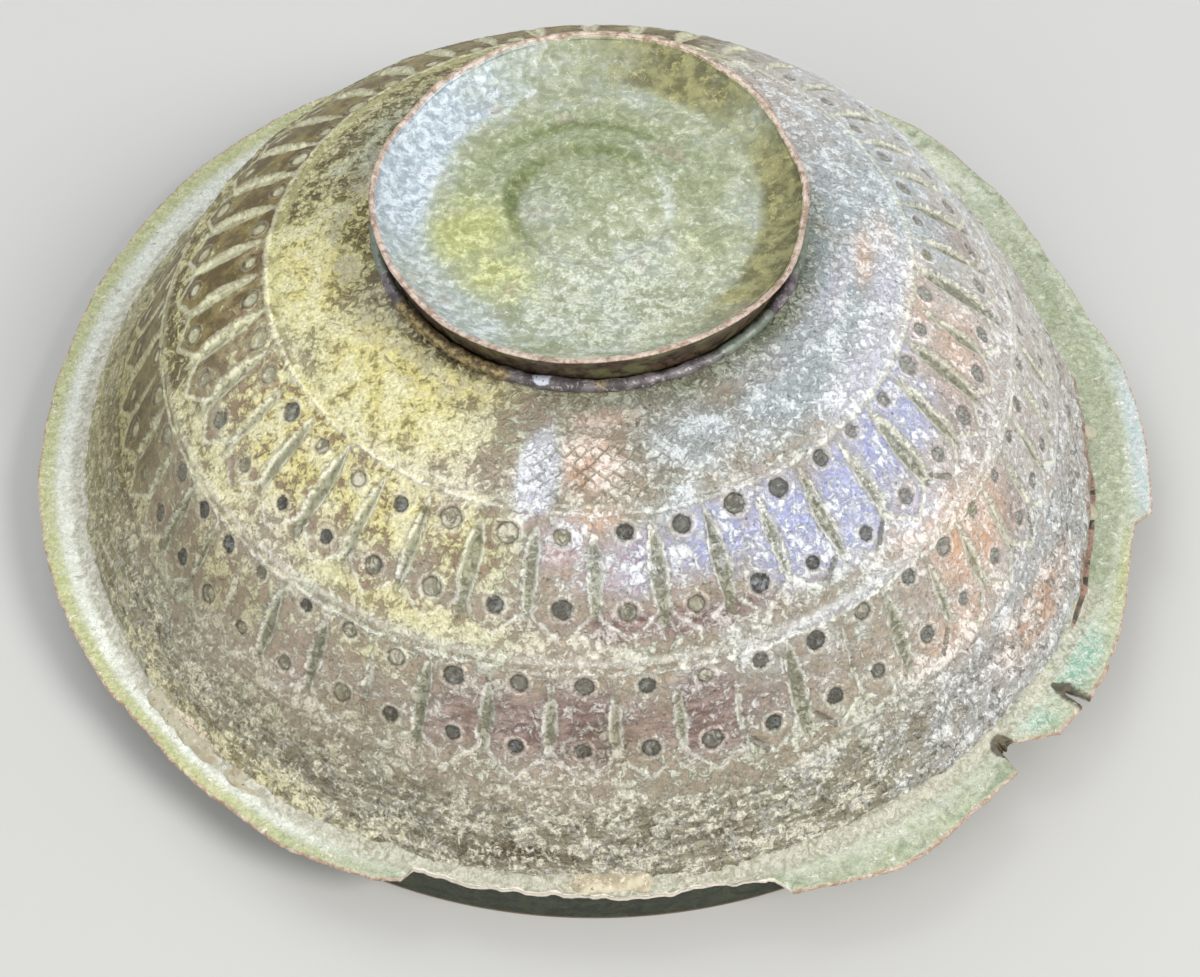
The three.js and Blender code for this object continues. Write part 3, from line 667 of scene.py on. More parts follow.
def wall_material():
    """The chased outside: smooth tinned copper, barest on the panels, under a granular crust. Both
    change colour with the stains, painted sheen and painted shade; the pattern's outlines, channels and
    circles come on top."""
    p = Paint("patinated_wall")
    large, medium = p.noise(15, 3), p.noise(4.4, 5, 0.62)
    grain, fine = p.noise(1.3, 6, 0.7, 0.7), p.noise(0.5, 4, 0.7)
    along, in_bands, left, right, crust = p.masks("along", "in_bands", "left", "right", "crust")
    edge, channel, pit, panel_tone, pit_tone = p.masks("edge", "channel", "pit", "panel_tone", "pit_tone")
    round_streaks = p.noise(1, 5, 0.65, place=p.wrapped(along, 6.0, 1.2))
    down_streaks = p.noise(1, 5, 0.65, place=p.wrapped(along, 1.0, 7.0))
    warp = (grain - 0.5) * 1.9
    edge = edge + warp
    channel = channel + warp * 0.8
    pit = pit + warp * 0.45
    panel = p.step(edge, 0.1, -0.5) * in_bands
    yellow, orange, frost, cool, rose, moss = p.patches(
        medium, 0.1, 0.85, 0.9, "yellow", "copper", "frost", "cool", "rose", "moss")
    [bare_here] = p.masks("bare")
    bare = p.step(bare_here + (panel_tone - 0.5) * 0.6 + (medium - 0.5) * 1.0, 0.3, 1.0)

    # Ground and crumbs of each stain, painted sheen and painted shade, one over another
    metal = p.blend(medium, "#a99b87", "#cabdaa")
    crumbs = p.blend(large, (fine, "#c1b9a5", "#ede7d8"), (fine, "#b4b7a1", "#dcdecd"), 0.44, 0.6)
    yellow_metal = p.mix(panel, (medium, "#a39660", "#cbc081"), (medium, "#94795f", "#bba98b"))
    yellow_crumbs = (medium, (fine, "#d3c986", "#efe69f"), (fine, "#d6cf9e", "#f5f1c8"), 0.44, 0.6)
    # Frosted panels: painted lavender sheen, pinkish-white where the rose stain lies
    frost_panel = p.mix(rose, (grain, "#a9add8", "#d3d9f2"), (grain, "#b29490", "#e8dadd"))
    for mask, ground, top in (
            (left, (medium, "#625128", "#8f7f46"), (fine, "#b5ae75", "#e6e0ad")),
            (crust, (round_streaks, "#8a836d", "#b8b19a"), (fine, "#beb8a0", "#f1eddb")),
            (left * crust, (medium, "#938b62", "#b2a97e"), (fine, "#bbb48a", "#e0dbb8")),
            (right, (medium, "#c5bab0", "#ddd5ce"), (fine, "#d2cfca", "#f4f3f0")),
            # cool: blue-grey tint and painted bluish sheen
            (cool, (medium, "#afbabc", "#cbd5d9"), (fine, "#c9d2d4", "#f0f4f6")),
            (bare * 0.9, (round_streaks, "#7a615a", "#b09890"), (fine, "#b5aaa4", "#e0d9d4")),
            (yellow, yellow_metal, yellow_crumbs),
            (orange, (medium, "#d9b091", "#f2d5bf"), (fine, "#f0dac9", "#fdf3ea")),
            # frost: white crust and painted bluish-white sheen
            (frost, p.mix(panel, "#d9dae6", frost_panel), (fine, "#dadee4", "#f9fafa")),
            # moss: green patina with painted shade next to the foot
            (moss, (down_streaks, "#565f49", "#939c88"), (fine, "#98a08c", "#ccd2c6"))):
        metal = p.mix(mask, metal, ground)
        crumbs = p.mix(mask, crumbs, top)
    thick = (
        grain + (medium - 0.5) * 0.55 + (round_streaks - 0.5) * 0.55 * crust
        + (down_streaks - 0.5) * 0.5 * right * in_bands + in_bands * 0.02 + panel * -0.055
        + panel * bare * -0.02 + panel * left * -0.11 + yellow * 0.1)
    cover = p.step(thick, 0.43, 0.55)

    # Channels, and the crust near the mouth
    inside = p.step(channel + left * 0.4, -0.1, 0.35) * in_bands
    deep = p.step(channel, 0.75, 1.15) * in_bands * p.step(medium, 0.45, 0.55)
    rough_crust = crust * (left * -0.7 + 1.0)
    flakes = p.step(p.noise(1.2, 5, 0.72, 0.8), 0.53, 0.59) * frost * (in_bands * 0.3 + 0.4)
    knobs = p.step(p.noise(2.4, 5, 0.7, 0.6), 0.54, 0.62) * rough_crust
    hollows = p.step(p.noise(1.8, 5, 0.72, 0.6), 0.44, 0.37) * rough_crust
    p.colour = metal
    p.lay(
        (crumbs, cover, 0.9),
        (p.mix(left, (grain, "#87876f", "#abab95"), (grain, "#c0bc91", "#ebe9c9")), inside, 0.85),
        ("#5c5843", deep, 0.3),
        ("#f8f9fc", flakes, 0.9),
        ((fine, "#c4c1b6", "#efece3"), knobs, 0.75),
        ((fine, "#4c4534", "#857e6a"), hollows, 0.6))

    # Pale outlines of the panels and circles, the ridge and the ring lines
    broken = p.step(p.noise(2.6, 4, 0.65), 0.38, 0.52)
    sides = p.math("ADD", left, right, clamp=True)
    outline = p.line(edge, 0.1, 0.32, 0.22) * in_bands * broken
    outline = outline | p.line(edge, 0.05, 0.48, 0.25) * in_bands * sides
    halo = p.line(pit, 0.4, 0.28, 0.25) * p.step(p.noise(1.5, 3), 0.36, 0.5)
    drawn = along + warp * 1.1
    ridge = p.line(drawn, RIDGE_MIDDLE, 0.6, 0.5) * p.step(p.noise(5, 4), 0.3, 0.46)
    near, far = RING_LINES
    near_line = p.line(drawn, near, 0.25, 0.3) * broken | p.line(drawn, near - 0.6, 1.2, 0.4) * left
    far_line = p.line(drawn, far, 0.3, 0.3) * p.step(medium, 0.42, 0.56)
    p.lay(
        (p.mix(0.6, crumbs, p.mix(sides, "#f9f6ec", "#e8e5cb")), outline, 0.85),
        (p.mix(0.5, crumbs, p.mix(panel_tone, "#ece7d6", "#ecd8cb")), halo, 0.8),
        ("#4a4028", p.line(pit, 0.4, 0.22, 0.2) * left, 0.8),
        (p.mix(0.5, crumbs, "#f5f0e3"), ridge * (left * -0.6 + 1.0), 0.8),
        (p.mix(0.5, crumbs, p.mix(left, "#f0ecdc", "#cccb8e")), near_line, 0.7),
        ("#65604a", far_line, 0.45))

    # Hatched belts, lobes, painted shadow along the channels' edges and round the circles, the circles and
    # chisel marks
    hatched, zigzag, lobe, mark, soil_here = p.masks("hatched", "zigzag", "lobe", "mark", "soil")
    hatch_along = along + warp * 1.4
    hatch = p.hatching(hatch_along, HATCH_LINES) | p.hatching(hatch_along, -HATCH_LINES)
    hatch = hatch * p.math("ADD", hatched, zigzag * 0.5, clamp=True) * p.step(p.noise(1.9, 3), 0.4, 0.54)
    facet = p.step(lobe + warp * 0.3, 0.1, -0.25) * p.step(medium, 0.42, 0.6)
    # Painted shadow beside the channels' edges
    rims = p.line(channel, -0.15, 0.14, 0.14) * in_bands * p.step(medium, 0.36, 0.52)
    disc = p.step(pit, 0.1, -0.2)
    slate = p.blend(grain, (fine, "#47443b", "#787972"), "#868d92", 0.5, 0.64)
    slate = p.mix(p.step(pit_tone, 0.1, 0.75), slate, (grain, "#6f6a5e", "#a3a297"))
    slate = p.mix(right, slate, (fine, "#8f8e86", "#bcbcb4"))
    filled = p.step(pit_tone + yellow * 0.42, 0.78, 0.86) | left * 0.9
    pale_fill = p.mix(left, (grain, "#9b9781", "#d5d0bb"), (grain, "#bfba8f", "#e9e7c8"))
    # Painted shadow round the circles' edges
    pit_ring = p.line(pit, -0.08, 0.14, 0.14) * p.step(left, 0.6, 0.2) * p.step(right, 0.8, 0.3)
    mark = p.step(mark + warp * 0.6, 0.15, -0.15)
    p.lay(
        ("#77735c", hatch, 0.65),
        (p.mix(grain, "#7b6e5e", "#a89583"), facet, 0.35),
        ("#655c46", rims, 0.28),
        (p.mix(filled, slate, pale_fill), disc, 0.95),
        ("#3f392d", pit_ring, 0.38),
        ("#5f5646", mark, 0.6))

    # Pores, soil that is partly painted shade at the foot's base, painted shade tinted olive, and the torn
    # edge of the mouth
    pores = p.step(p.noise(0.9, 5, 0.75), 0.4, 0.32)
    soil = p.step(soil_here + (medium - 0.5) * 1.0, 0.2, 0.8) * p.step(grain, 0.62, 0.46)
    [shade] = p.patches(medium, 0.1, 0.9, 0.8, "shade")
    [torn] = p.patches(grain, 0.3, 0.55, 0.8, "torn")
    p.lay(
        (p.mix(medium, "#4a4130", "#7a6b56"), pores, 0.6),
        ((fine, "#372d1c", "#6b5a38"), soil, 0.85))
    p.colour = p.mix(shade * 0.55, p.colour, "#a39b66", "MULTIPLY")
    p.lay((p.mix(fine, "#8a6656", "#dcbaa6"), torn, 0.85))
    p.crisp(0.22)

    smooth = 1.0 - cover
    height = fine * 0.35 + grain * 1.3 + cover * 0.25
    for part, rise in (
            (outline, 0.3), (halo, 0.35), (disc, -0.5), (hatch, -0.45), (mark, -0.5), (pores, -0.3),
            (far_line, -0.35), (crust * round_streaks, 0.6), (knobs, 0.6), (hollows, -0.6)):
        height = height + part * rise
    return p.finish(fine * 0.3 + smooth * -0.18 + 0.42, smooth * 0.25 + 0.05, height, 0.65)


def dish_material(name):
    """The saucer inside the foot: green-grey patina with white and yellow-green, painted reflection and
    highlights, and painted shade.
    """
    p = Paint(name)
    large, medium = p.noise(9, 4), p.noise(3.6, 6, 0.65, 0.8)
    small, fine = p.noise(1.5, 6, 0.7, 0.5), p.noise(0.45, 4, 0.7)
    rings = p.noise(2.6, 4, 0.6, place=p.vector("MULTIPLY", p.place, [1, 1, 0.25]))
    green, bright, olive, yellow, crest, moat = p.patches(
        medium, 0.15, 0.85, 0.9, "green", "bright", "olive", "yellow", "crest", "moat")
    [mottle] = p.masks("mottle")
    [lip] = p.patches(small, 0.3, 0.6, 0.6, "lip")
    [outside] = p.patches(medium, 0.4, 0.6, 0.4, "outside")
    level = small + mottle * 0.13 + (medium - 0.5) * 0.5 + (fine - 0.5) * 0.5
    crumbs = p.mix(bright, (fine, "#b3b8a8", "#d3d7cb"), "#dbe2e8")
    crumbs = p.mix(olive, p.mix(yellow, crumbs, "#dcdba6"), "#b0aa74")
    lip_colour = p.blend(small, "#9c806c", "#d9c6b8", 0.36, 0.6)
    # Dark brown on the foot's outer face: painted shade under the lip
    under = (p.noise(5, 4), (small, "#2e251d", "#5f4d3b", 0.36, 0.6), "#6c6a4a", 0.5, 0.64)
    p.colour = p.blend(medium, "#868c70", "#a7ab90")
    p.lay(
        ((small, "#8f9788", "#aeb3a2"), p.step(large, 0.45, 0.6)),
        ((small, "#767d58", "#9ca580"), green, 0.7),
        # Painted shade in the groove round the boss, on its left and back
        ((medium, "#505a30", "#76824f"), moat, 0.85),
        # Painted blue-white reflection on the left inner wall
        ((small, "#9ba7b0", "#ced7de"), bright, 0.95),
        # Olive patina, darkened as painted shade on the right inner wall
        ((rings, "#5a5731", "#8d8a5a", 0.38, 0.62), olive, 0.97),
        ((small, "#94964f", "#bcc07e"), yellow, 0.75),
        ("#a08a7c", p.step(large, 0.6, 0.68), 0.35),
        (crumbs, p.step(level, 0.53, 0.72), 0.8),
        ((small, "#4f5930", "#7c8657"), moat, 0.5),
        # Painted highlight on the right of the boss ring
        ((small, "#b6baae", "#dfe3dc"), crest, 0.6),
        ("#565a3e", p.step(p.noise(0.9, 4, 0.7), 0.37, 0.3), 0.55),
        (lip_colour, lip),
        (under, outside),
        (lip_colour, lip * outside, 0.8))
    p.crisp(0.24)
    return p.finish(fine * 0.25 + bright * -0.06 + 0.36, (bright | lip) * 0.25 + 0.1,
                    fine * 0.35 + small * 0.8 + rings * 0.25, 0.35)


def rim_material():
    """Flange and the upright band under it: pale verdigris, yellow-green, turquoise crust and a thin copper
    edge, with painted shade under the flange and next to the wall, and a painted highlight on the torn edge.
    """
    p = Paint("verdigris_rim")
    large, medium = p.noise(10, 4), p.noise(3.2, 5, 0.65, 1.0)
    small, fine = p.noise(1.3, 6, 0.7, 1.0), p.noise(0.45, 4, 0.7)
    inner, lime, turquoise, lilac, corner = p.patches(
        medium, 0.1, 0.95, 0.9, "inner", "lime", "turquoise", "lilac", "corner")
    [crust] = p.patches(medium, 0.2, 0.9, 0.9, "crust")
    [collar] = p.patches(medium, 0.35, 0.65, 0.5, "collar")
    [hem] = p.patches(small, 0.4, 0.65, 0.7, "hem")
    [edge] = p.patches(small, 0.35, 0.62, 0.6, "edge_wear")
    [fresh] = p.patches(small, 0.3, 0.55, 0.4, "fresh")
    [slit] = p.patches(small, 0.25, 0.5, 0.4, "crevice")
    [rust] = p.patches(small, 0.4, 0.75, 0.9, "rust")
    crumbs = p.step(small + (medium - 0.5) * 0.6 + (fine - 0.5) * 0.5, 0.54, 0.66)
    p.colour = p.blend(medium, "#8c957a", "#b9c1a8", 0.36, 0.62)
    p.lay(
        ((small, "#a3aa8c", "#c6cab2"), p.step(large, 0.44, 0.6)),
        ((small, "#cbcec0", "#f0f1ea"), inner, 0.9),
        ((small, "#a8a96e", "#d0cf97"), lime, 0.7),
        ((small, "#a9bab8", "#d2d8de"), lilac, 0.85),
        # Painted shade: darker green on the flange next to the bowl's wall
        ((small, "#747f5c", "#a2aa86"), corner, 0.6),
        ((small, "#7aa68f", "#d2e2d6"), turquoise, 0.85),
        ((fine, "#c9ccb4", "#eceadb"), crumbs, 0.5),
        ("#7d6d48", p.step(p.noise(2.6, 4, 0.7), 0.6, 0.68), 0.5),
        ((small, "#8b8570", "#cfcbba", 0.36, 0.62), crust, 0.75),
        # Painted shade, nearly black green, on the upright band under the flange
        ((fine, (medium, "#10180b", "#2c331b"), "#6a6440", 0.6, 0.72), collar, 0.97),
        ("#8a7050", hem, 0.7),
        ((small, "#a5826a", "#dfcbbb", 0.42, 0.62), edge, 0.85),
        # Torn edge: pale bare metal and a painted highlight
        (p.mix(small, "#dccdba", "#f3eee4"), fresh, 0.95),
        ((medium, "#2f241c", "#a57f6f", 0.42, 0.56), slit, 0.9),
        ((medium, "#251d14", "#5c4a2c"), rust, 0.85))
    p.crisp(0.28)
    height = fine * 0.4 + small * 0.9 + turquoise * medium * 0.9 + crumbs * 0.2
    return p.finish(fine * 0.3 + 0.42, (edge | fresh) * 0.25 + 0.08, height, 0.32)


def bead_material():
    """The rolled bead of solder: dark purple-grey, with a painted highlight on its top and tan lumps."""
    p = Paint("dark_bead")
    medium, small, fine = p.noise(2.6, 4), p.noise(0.9, 4, 0.65), p.noise(0.4, 3, 0.7)
    # Painted highlight on the top of the bead
    [bright] = p.patches(small, 0.35, 0.6, 0.6, "bright")
    [tan] = p.patches(medium, 0.4, 0.62, 0.9, "tan")
    [green] = p.patches(medium, 0.4, 0.65, 0.9, "green")
    p.colour = p.blend(medium, "#4c4547", "#7a7274", 0.38, 0.62)
    p.lay(
        ("#a19c9c", p.step(small, 0.55, 0.66)),
        ("#c4c9d4", bright, 0.9),
        ((small, "#5c4a2e", "#a8965f"), tan, 0.85),
        (p.mix(small, "#55604f", "#8b9a8a"), green, 0.7),
        ("#231e1b", p.step(p.noise(0.7, 2), 0.34, 0.27)))
    return p.finish(fine * 0.3 + 0.3, 0.3, fine * 0.3 + small * 0.6, 0.25)


def solder_material():
    """Rough tan solder left in the seam between the bowl and its rim."""
    p = Paint("tan_seam")
    medium, small, fine = p.noise(2.4, 4), p.noise(0.9, 4, 0.65), p.noise(0.4, 3, 0.7)
    [grey] = p.patches(medium, 0.35, 0.65, 0.9, "grey")
    p.colour = p.blend(medium, "#9d9178", "#c8bea4", 0.38, 0.62)
    p.lay(
        ("#ddd6c2", p.step(small, 0.54, 0.66)),
        (p.mix(small, "#8f8b74", "#bbb8a4"), grey, 0.8),
        ("#4e4230", p.step(p.noise(0.7, 2), 0.36, 0.28), 0.8))
    return p.finish(fine * 0.25 + 0.55, 0.1, fine * 0.4 + small * 0.6, 0.3)


def tinned_material():
    """The inside of the bowl: dull grey tin, worn through to copper in places."""
    p = Paint("tinned_inside")
    large, medium, small = p.noise(22, 4), p.noise(5, 5, 0.65), p.noise(1.2, 4, 0.65)
    p.colour = p.blend(medium, "#7c7d74", "#a5a69b", 0.36, 0.64)
    p.lay(
        (p.mix(small, "#7d5f4c", "#a98468"), p.step(large, 0.52, 0.62), 0.8),
        ("#7f9179", p.step(p.noise(9, 4), 0.58, 0.66), 0.7),
        ("#c6c6b8", p.step(small, 0.58, 0.68), 0.5))
    return p.finish(small * 0.3 + 0.32, 0.45, medium * 0.5 + small * 0.5, 0.2)


def bottom_height(radius):
    """Height of the bowl's bottom inside the foot, with the steps rounded."""
    fine = np.arange(0, WALL_START_RADIUS + 2, 0.1)
    heights = np.interp(fine, *np.array(BOTTOM_PROFILE).T)
    window = np.hanning(15)
    heights = np.convolve(np.pad(heights, 7, mode="edge"), window / window.sum(), mode="valid")
    return FLOOR_HEIGHT + np.interp(radius, fine, heights)


def wall_relief(azimuth, along, points):
    """How far the outside stands up from the plain wall, and the masks that its material reads."""
    along = ornament_distance(azimuth, along)
    degrees = degrees_from(azimuth)
    left = np.maximum(smooth_step(degrees, -50, -84), smooth_step(degrees, 135, 165))
    masks = dict(edge=3.0, channel=-3.0, pit=9.0, mark=9.0, panel_tone=0.0, pit_tone=0.0)
    masks = {name: np.full(len(azimuth), value) for name, value in masks.items()}
    in_bands = np.zeros(len(azimuth))
    wide, narrow = BAND_FADE
    for band in (BAND_ONE, BAND_TWO):
        start, end = band["start"], band["end"]
        inside = (along > start - wide) & (along < end + wide)
        for name, value in zip(masks, band_pattern(band, azimuth, along)):
            masks[name][inside] = value[inside]
        in_bands = np.maximum(
            in_bands, plateau(along, start - wide, start - narrow, end + narrow, end + wide))
    ragged = 0.25 * lumps(points, 3.0, 75)
    masks["edge"] += ragged
    masks["channel"] += ragged
    edge, pit = masks["edge"], masks["pit"]
    relief = -CHANNEL_DEPTH * smooth_step(masks["channel"], -0.35, 0.7) * in_bands
    relief += LINE_SWELL * hill(edge, -0.1, 0.5) * in_bands
    relief -= PIT_DEPTH * smooth_step(pit, 0.3, -0.5) * (1 - 0.7 * left)
    relief += LINE_SWELL * hill(pit, 0.55, 0.35)
    relief -= MARK_DEPTH * smooth_step(masks["mark"], 0.4, -0.2)
    relief += RIDGE_RISE * hill(along, RIDGE_MIDDLE, 0.9) * (0.8 + 0.4 * lumps(points, 7, 76))
    for line in RING_LINES:
        relief -= RING_LINE_DEPTH * hill(along, line, 0.45)

    pitch = FULL_TURN / LOBE_COUNT
    turn = ((azimuth + pitch / 2) % pitch) - pitch / 2
    across = turn * wall_radius(along) / (pitch * wall_radius(LOBES_MIDDLE) / 2)
    lobe = across ** 2 + (2 * (along - LOBES_MIDDLE) / LOBES_LENGTH) ** 2 - 1
    relief -= LOBE_DEPTH * smooth_step(lobe, 0.1, -1.0)

    crust = smooth_step(along, CRUST_FROM - 2, CRUST_FROM + 5)
    relief += (0.1 + 0.24 * crust) * rugged(points, 4.5, 71) + (0.07 + 0.2 * crust) * rugged(points, 1.9, 72)
    streak = np.stack([10 * np.sin(azimuth), 10 * np.cos(azimuth), along / 1.6], 1)
    relief += 0.25 * crust * rugged(streak, 1.0, 77, 2)
    relief += 0.3 * lumps(points, 16.0, 74) * smooth_step(along, 0, 6)
    masks.update(
        in_bands=in_bands, crust=crust, along=along, left=left,
        lobe=np.where(along < HATCHED_FROM + 2, lobe, 3.0),
        right=plateau(degrees, 28, 56, 135, 165),
        hatched=plateau(along, 10.6, 11.8, 19.6, 20.6) * (0.22 + 0.78 * hill(degrees, 0, 14)),
        zigzag=plateau(along, 66, 68, 73, 77))
    return relief, masks


def bowl_rings():
    """Rings of the bowl from the middle of its bottom, out and down the wall, round the mouth and
    back up the inside: distance along the outside, columns, and how deep in the sheet."""
    outside, inner, brim = 0.0, 1.0, WALL_LENGTH - 0.4
    half, quarter, eighth, fewest = (WALL_COLUMNS // share for share in (2, 4, 8, 16))
    bottom = [(1.0, fewest), (2.2, fewest)]
    for start, end, spacing, columns in (
            (3.2, 6.4, 0.8, eighth), (6.4, 11.2, 0.6, quarter), (11.2, 22.6, 0.5, half),
            (22.6, WALL_START_RADIUS, 0.8, half)):
        bottom += [(radius, columns) for radius in rows_between(start, end, spacing)]
    rings = [(radius - WALL_START_RADIUS, columns, outside) for radius, columns in bottom]
    rings += [(distance, WALL_COLUMNS, outside) for distance in rows_between(0, brim, OUTER_SPACING)]
    rings += [(brim, WALL_COLUMNS, outside), (WALL_LENGTH, WALL_COLUMNS, 0.2),
              (WALL_LENGTH, WALL_COLUMNS, 0.8), (brim, half, inner)]
    rings += [(distance, quarter, inner) for distance in rows_between(WALL_LENGTH - 2.5, 0, INNER_SPACING)]
    for radii, columns in (
            ((31, 29, 27, 24, 21, 18, 15, 12), quarter), ((9, 6), eighth), ((4, 2), fewest)):
        rings += [(radius - WALL_START_RADIUS, columns, inner) for radius in radii]
    return rings


def bowl_surface(azimuth, along, depth):
    """Places of the bowl's corners, and the masks that its material reads."""
    on_wall = along >= 0
    distance = np.clip(along, 0, WALL_LENGTH)
    plain = around(azimuth, *wall_section(distance, 0), BOWL_OFFSET)
    relief, masks = wall_relief(azimuth, np.where(on_wall, along, -3.0), plain)
    outer_share = np.clip(1 - depth, 0, 1)
    lift = unevenness(azimuth, distance) + relief * np.where(depth > 0.9, INNER_RELIEF, outer_share)
    lift = lift - SHEET_THICKNESS * depth
    radius, height = wall_section(distance, lift)
    height = np.where(distance > WALL_LENGTH - 3, np.maximum(height, MOUTH_HEIGHT), height)

    near_mouth = smooth_step(distance, WALL_LENGTH - 26, WALL_LENGTH)
    radius = radius + along_outline(MOUTH_OUTLINE, azimuth) * near_mouth
    gap = along_outline(MOUTH_GAP, azimuth)
    gap = gap + np.where(gap > 0.3, 0.5 * rugged(plain, 2.2, 81, 2), 0)
    height = height + (np.maximum(gap, 0) - 0.25) * smooth_step(distance, WALL_LENGTH - 4, WALL_LENGTH)

    bottom_radius = WALL_START_RADIUS + along
    bottom = around(azimuth, bottom_radius, bottom_height(bottom_radius), BOWL_OFFSET)
    bottom[:, 2] += 0.09 * rugged(bottom, 3.0, 91) + 0.3 * hill(bottom_radius, 0, 14) * lumps(bottom, 9.0, 92)
    bottom[:, 2] -= np.where(depth > 0.5, SHEET_THICKNESS, 0)
    wall = around(azimuth, radius, height, BOWL_OFFSET)
    masks["torn"] = smooth_step(gap, 0.3, 0.6) * smooth_step(along, WALL_LENGTH - 3.2, WALL_LENGTH - 0.8)
    return np.where(on_wall[:, None], wall, bottom), masks


def paint_dish(piece):
    """Stains, painted highlights and painted shade of the saucer inside the foot, by place. Gives back the
    corners' radii and azimuths.
    """
    points = corners_of(piece)
    x, y = points[:, 0] - BOWL_OFFSET, points[:, 1]
    radius, azimuth = polar(points, BOWL_OFFSET)

    def towards(degrees, width):
        return hill(degrees_from(azimuth, degrees), 0, width)

    def spot(at_x, at_y, width):
        return np.exp(-((x - at_x) ** 2 + (y - at_y) ** 2) / width ** 2)

    green = np.maximum(smooth_step(radius, 25, 21) * smooth_step(y, -8, 8) * 0.9, 0.8 * spot(0, 1, 9))
    yellow = np.maximum(np.maximum(spot(-19, -6, 8), 0.8 * spot(-14, -15, 8)), 0.4 * spot(19, -8, 7))
    # Painted shade round the boss on the left and at the back
    moat = hill(radius, 12.8, 1.6) * np.maximum(towards(-100, 60), 0.7 * towards(170, 50))
    paint(
        piece,
        # painted reflection on the left inner wall; painted shade on the right one
        bright=smooth_step(radius, 22.5, 29) * np.maximum(towards(-108, 52), 0.5 * towards(-40, 30)),
        olive=smooth_step(radius, 25.5, 30) * np.maximum(towards(78, 52), 0.8 * towards(150, 34)),
        green=green,
        yellow=yellow,
        # painted highlight on the right of the boss ring
        crest=hill(radius, 13.0, 1.0) * np.maximum(towards(98, 30), 0.6 * towards(35, 40)),
        moat=np.maximum(moat, 0.7 * hill(radius, 19, 1.6) * towards(-170, 70)),
        mottle=spot(4, -22, 15) - 0.3 * green)
    return radius, azimuth


def make_bowl():
    """A closed mesh from the middle of the bottom through all rings to the middle inside."""
    rings = bowl_rings()
    counts = [columns for _, columns, _ in rings]
    pole = [-WALL_START_RADIUS]
    azimuth = np.concatenate([[0.0], *(columns_round(columns) for columns in counts), [0.0]])
    along = np.concatenate([pole, np.repeat([ring[0] for ring in rings], counts), pole])
    depth = np.concatenate([[0.0], np.repeat([ring[2] for ring in rings], counts), [1.0]])
    points, masks = bowl_surface(azimuth, along, depth)
    starts = 1 + np.concatenate([[0], np.cumsum(counts)[:-1]])
    faces = [[0, 1 + j, 1 + (j + 1) % counts[0]] for j in range(counts[0])]
    for k in range(len(rings) - 1):
        faces += ring_faces(starts[k], counts[k], starts[k + 1], counts[k + 1])
    last, first, count = len(azimuth) - 1, starts[-1], counts[-1]
    faces += [[first + j, last, first + (j + 1) % count] for j in range(count)]
    piece = new_mesh("chased_bowl", points, faces)

    on_wall = np.where(along >= 0, along, 0)
    paint(piece, **masks)
    paint(piece, **{name: blobs(patches, azimuth, on_wall) for name, patches in STAINS.items()})
    paint_dish(piece)
    yellow = np.empty(len(along), np.float32)
    layer = piece.data.attributes["yellow"].data
    layer.foreach_get("value", yellow)
    yellow = np.where(along >= -1, blobs(YELLOW_STAINS, azimuth, on_wall), yellow)
    layer.foreach_set("value", yellow.astype(np.float32))
    for material in (wall_material(), dish_material("dish_floor"), tinned_material()):
        piece.data.materials.append(material)
    slots = []
    for face in piece.data.polygons:
        deepest = max(depth[corner] for corner in face.vertices)
        slots.append(2 if deepest > 0.95 else int(along[face.vertices[0]] < 0))
    piece.data.polygons.foreach_set("material_index", slots)
    return piece


def cad_edge(node, low_radius, low_height, offset):
    """The outline of a bent edge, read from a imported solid: azimuths, radii and heights."""
    points = np.array([vertex.co for vertex in frame["nodes"][node].data.vertices]) / MM
    radius, azimuth = polar(points, offset)
    azimuth = np.round(azimuth % FULL_TURN, 4)
    found = {}
    for angle, reach, height in zip(azimuth, radius, points[:, 2]):
        if reach > max(low_radius, found.get(angle, (0, 0))[0]) and height > low_height:
            found[angle] = (reach, height)
    angles = np.array(sorted(found))
    radii, heights = np.array([found[angle] for angle in angles]).T
    return angles, radii, heights


def rim_azimuths(angles):
    """Even columns, closer together at the crack and wherever the outline jumps."""
    close = np.radians(np.arange(52.6, 55.2, 0.06))
    steps = np.radians(np.concatenate([np.arange(16.5, 19.5, 0.12), np.arange(76, 79, 0.12)]))
    return np.unique(np.round(np.concatenate([columns_round(RIM_COLUMNS), close, steps, angles]), 5))


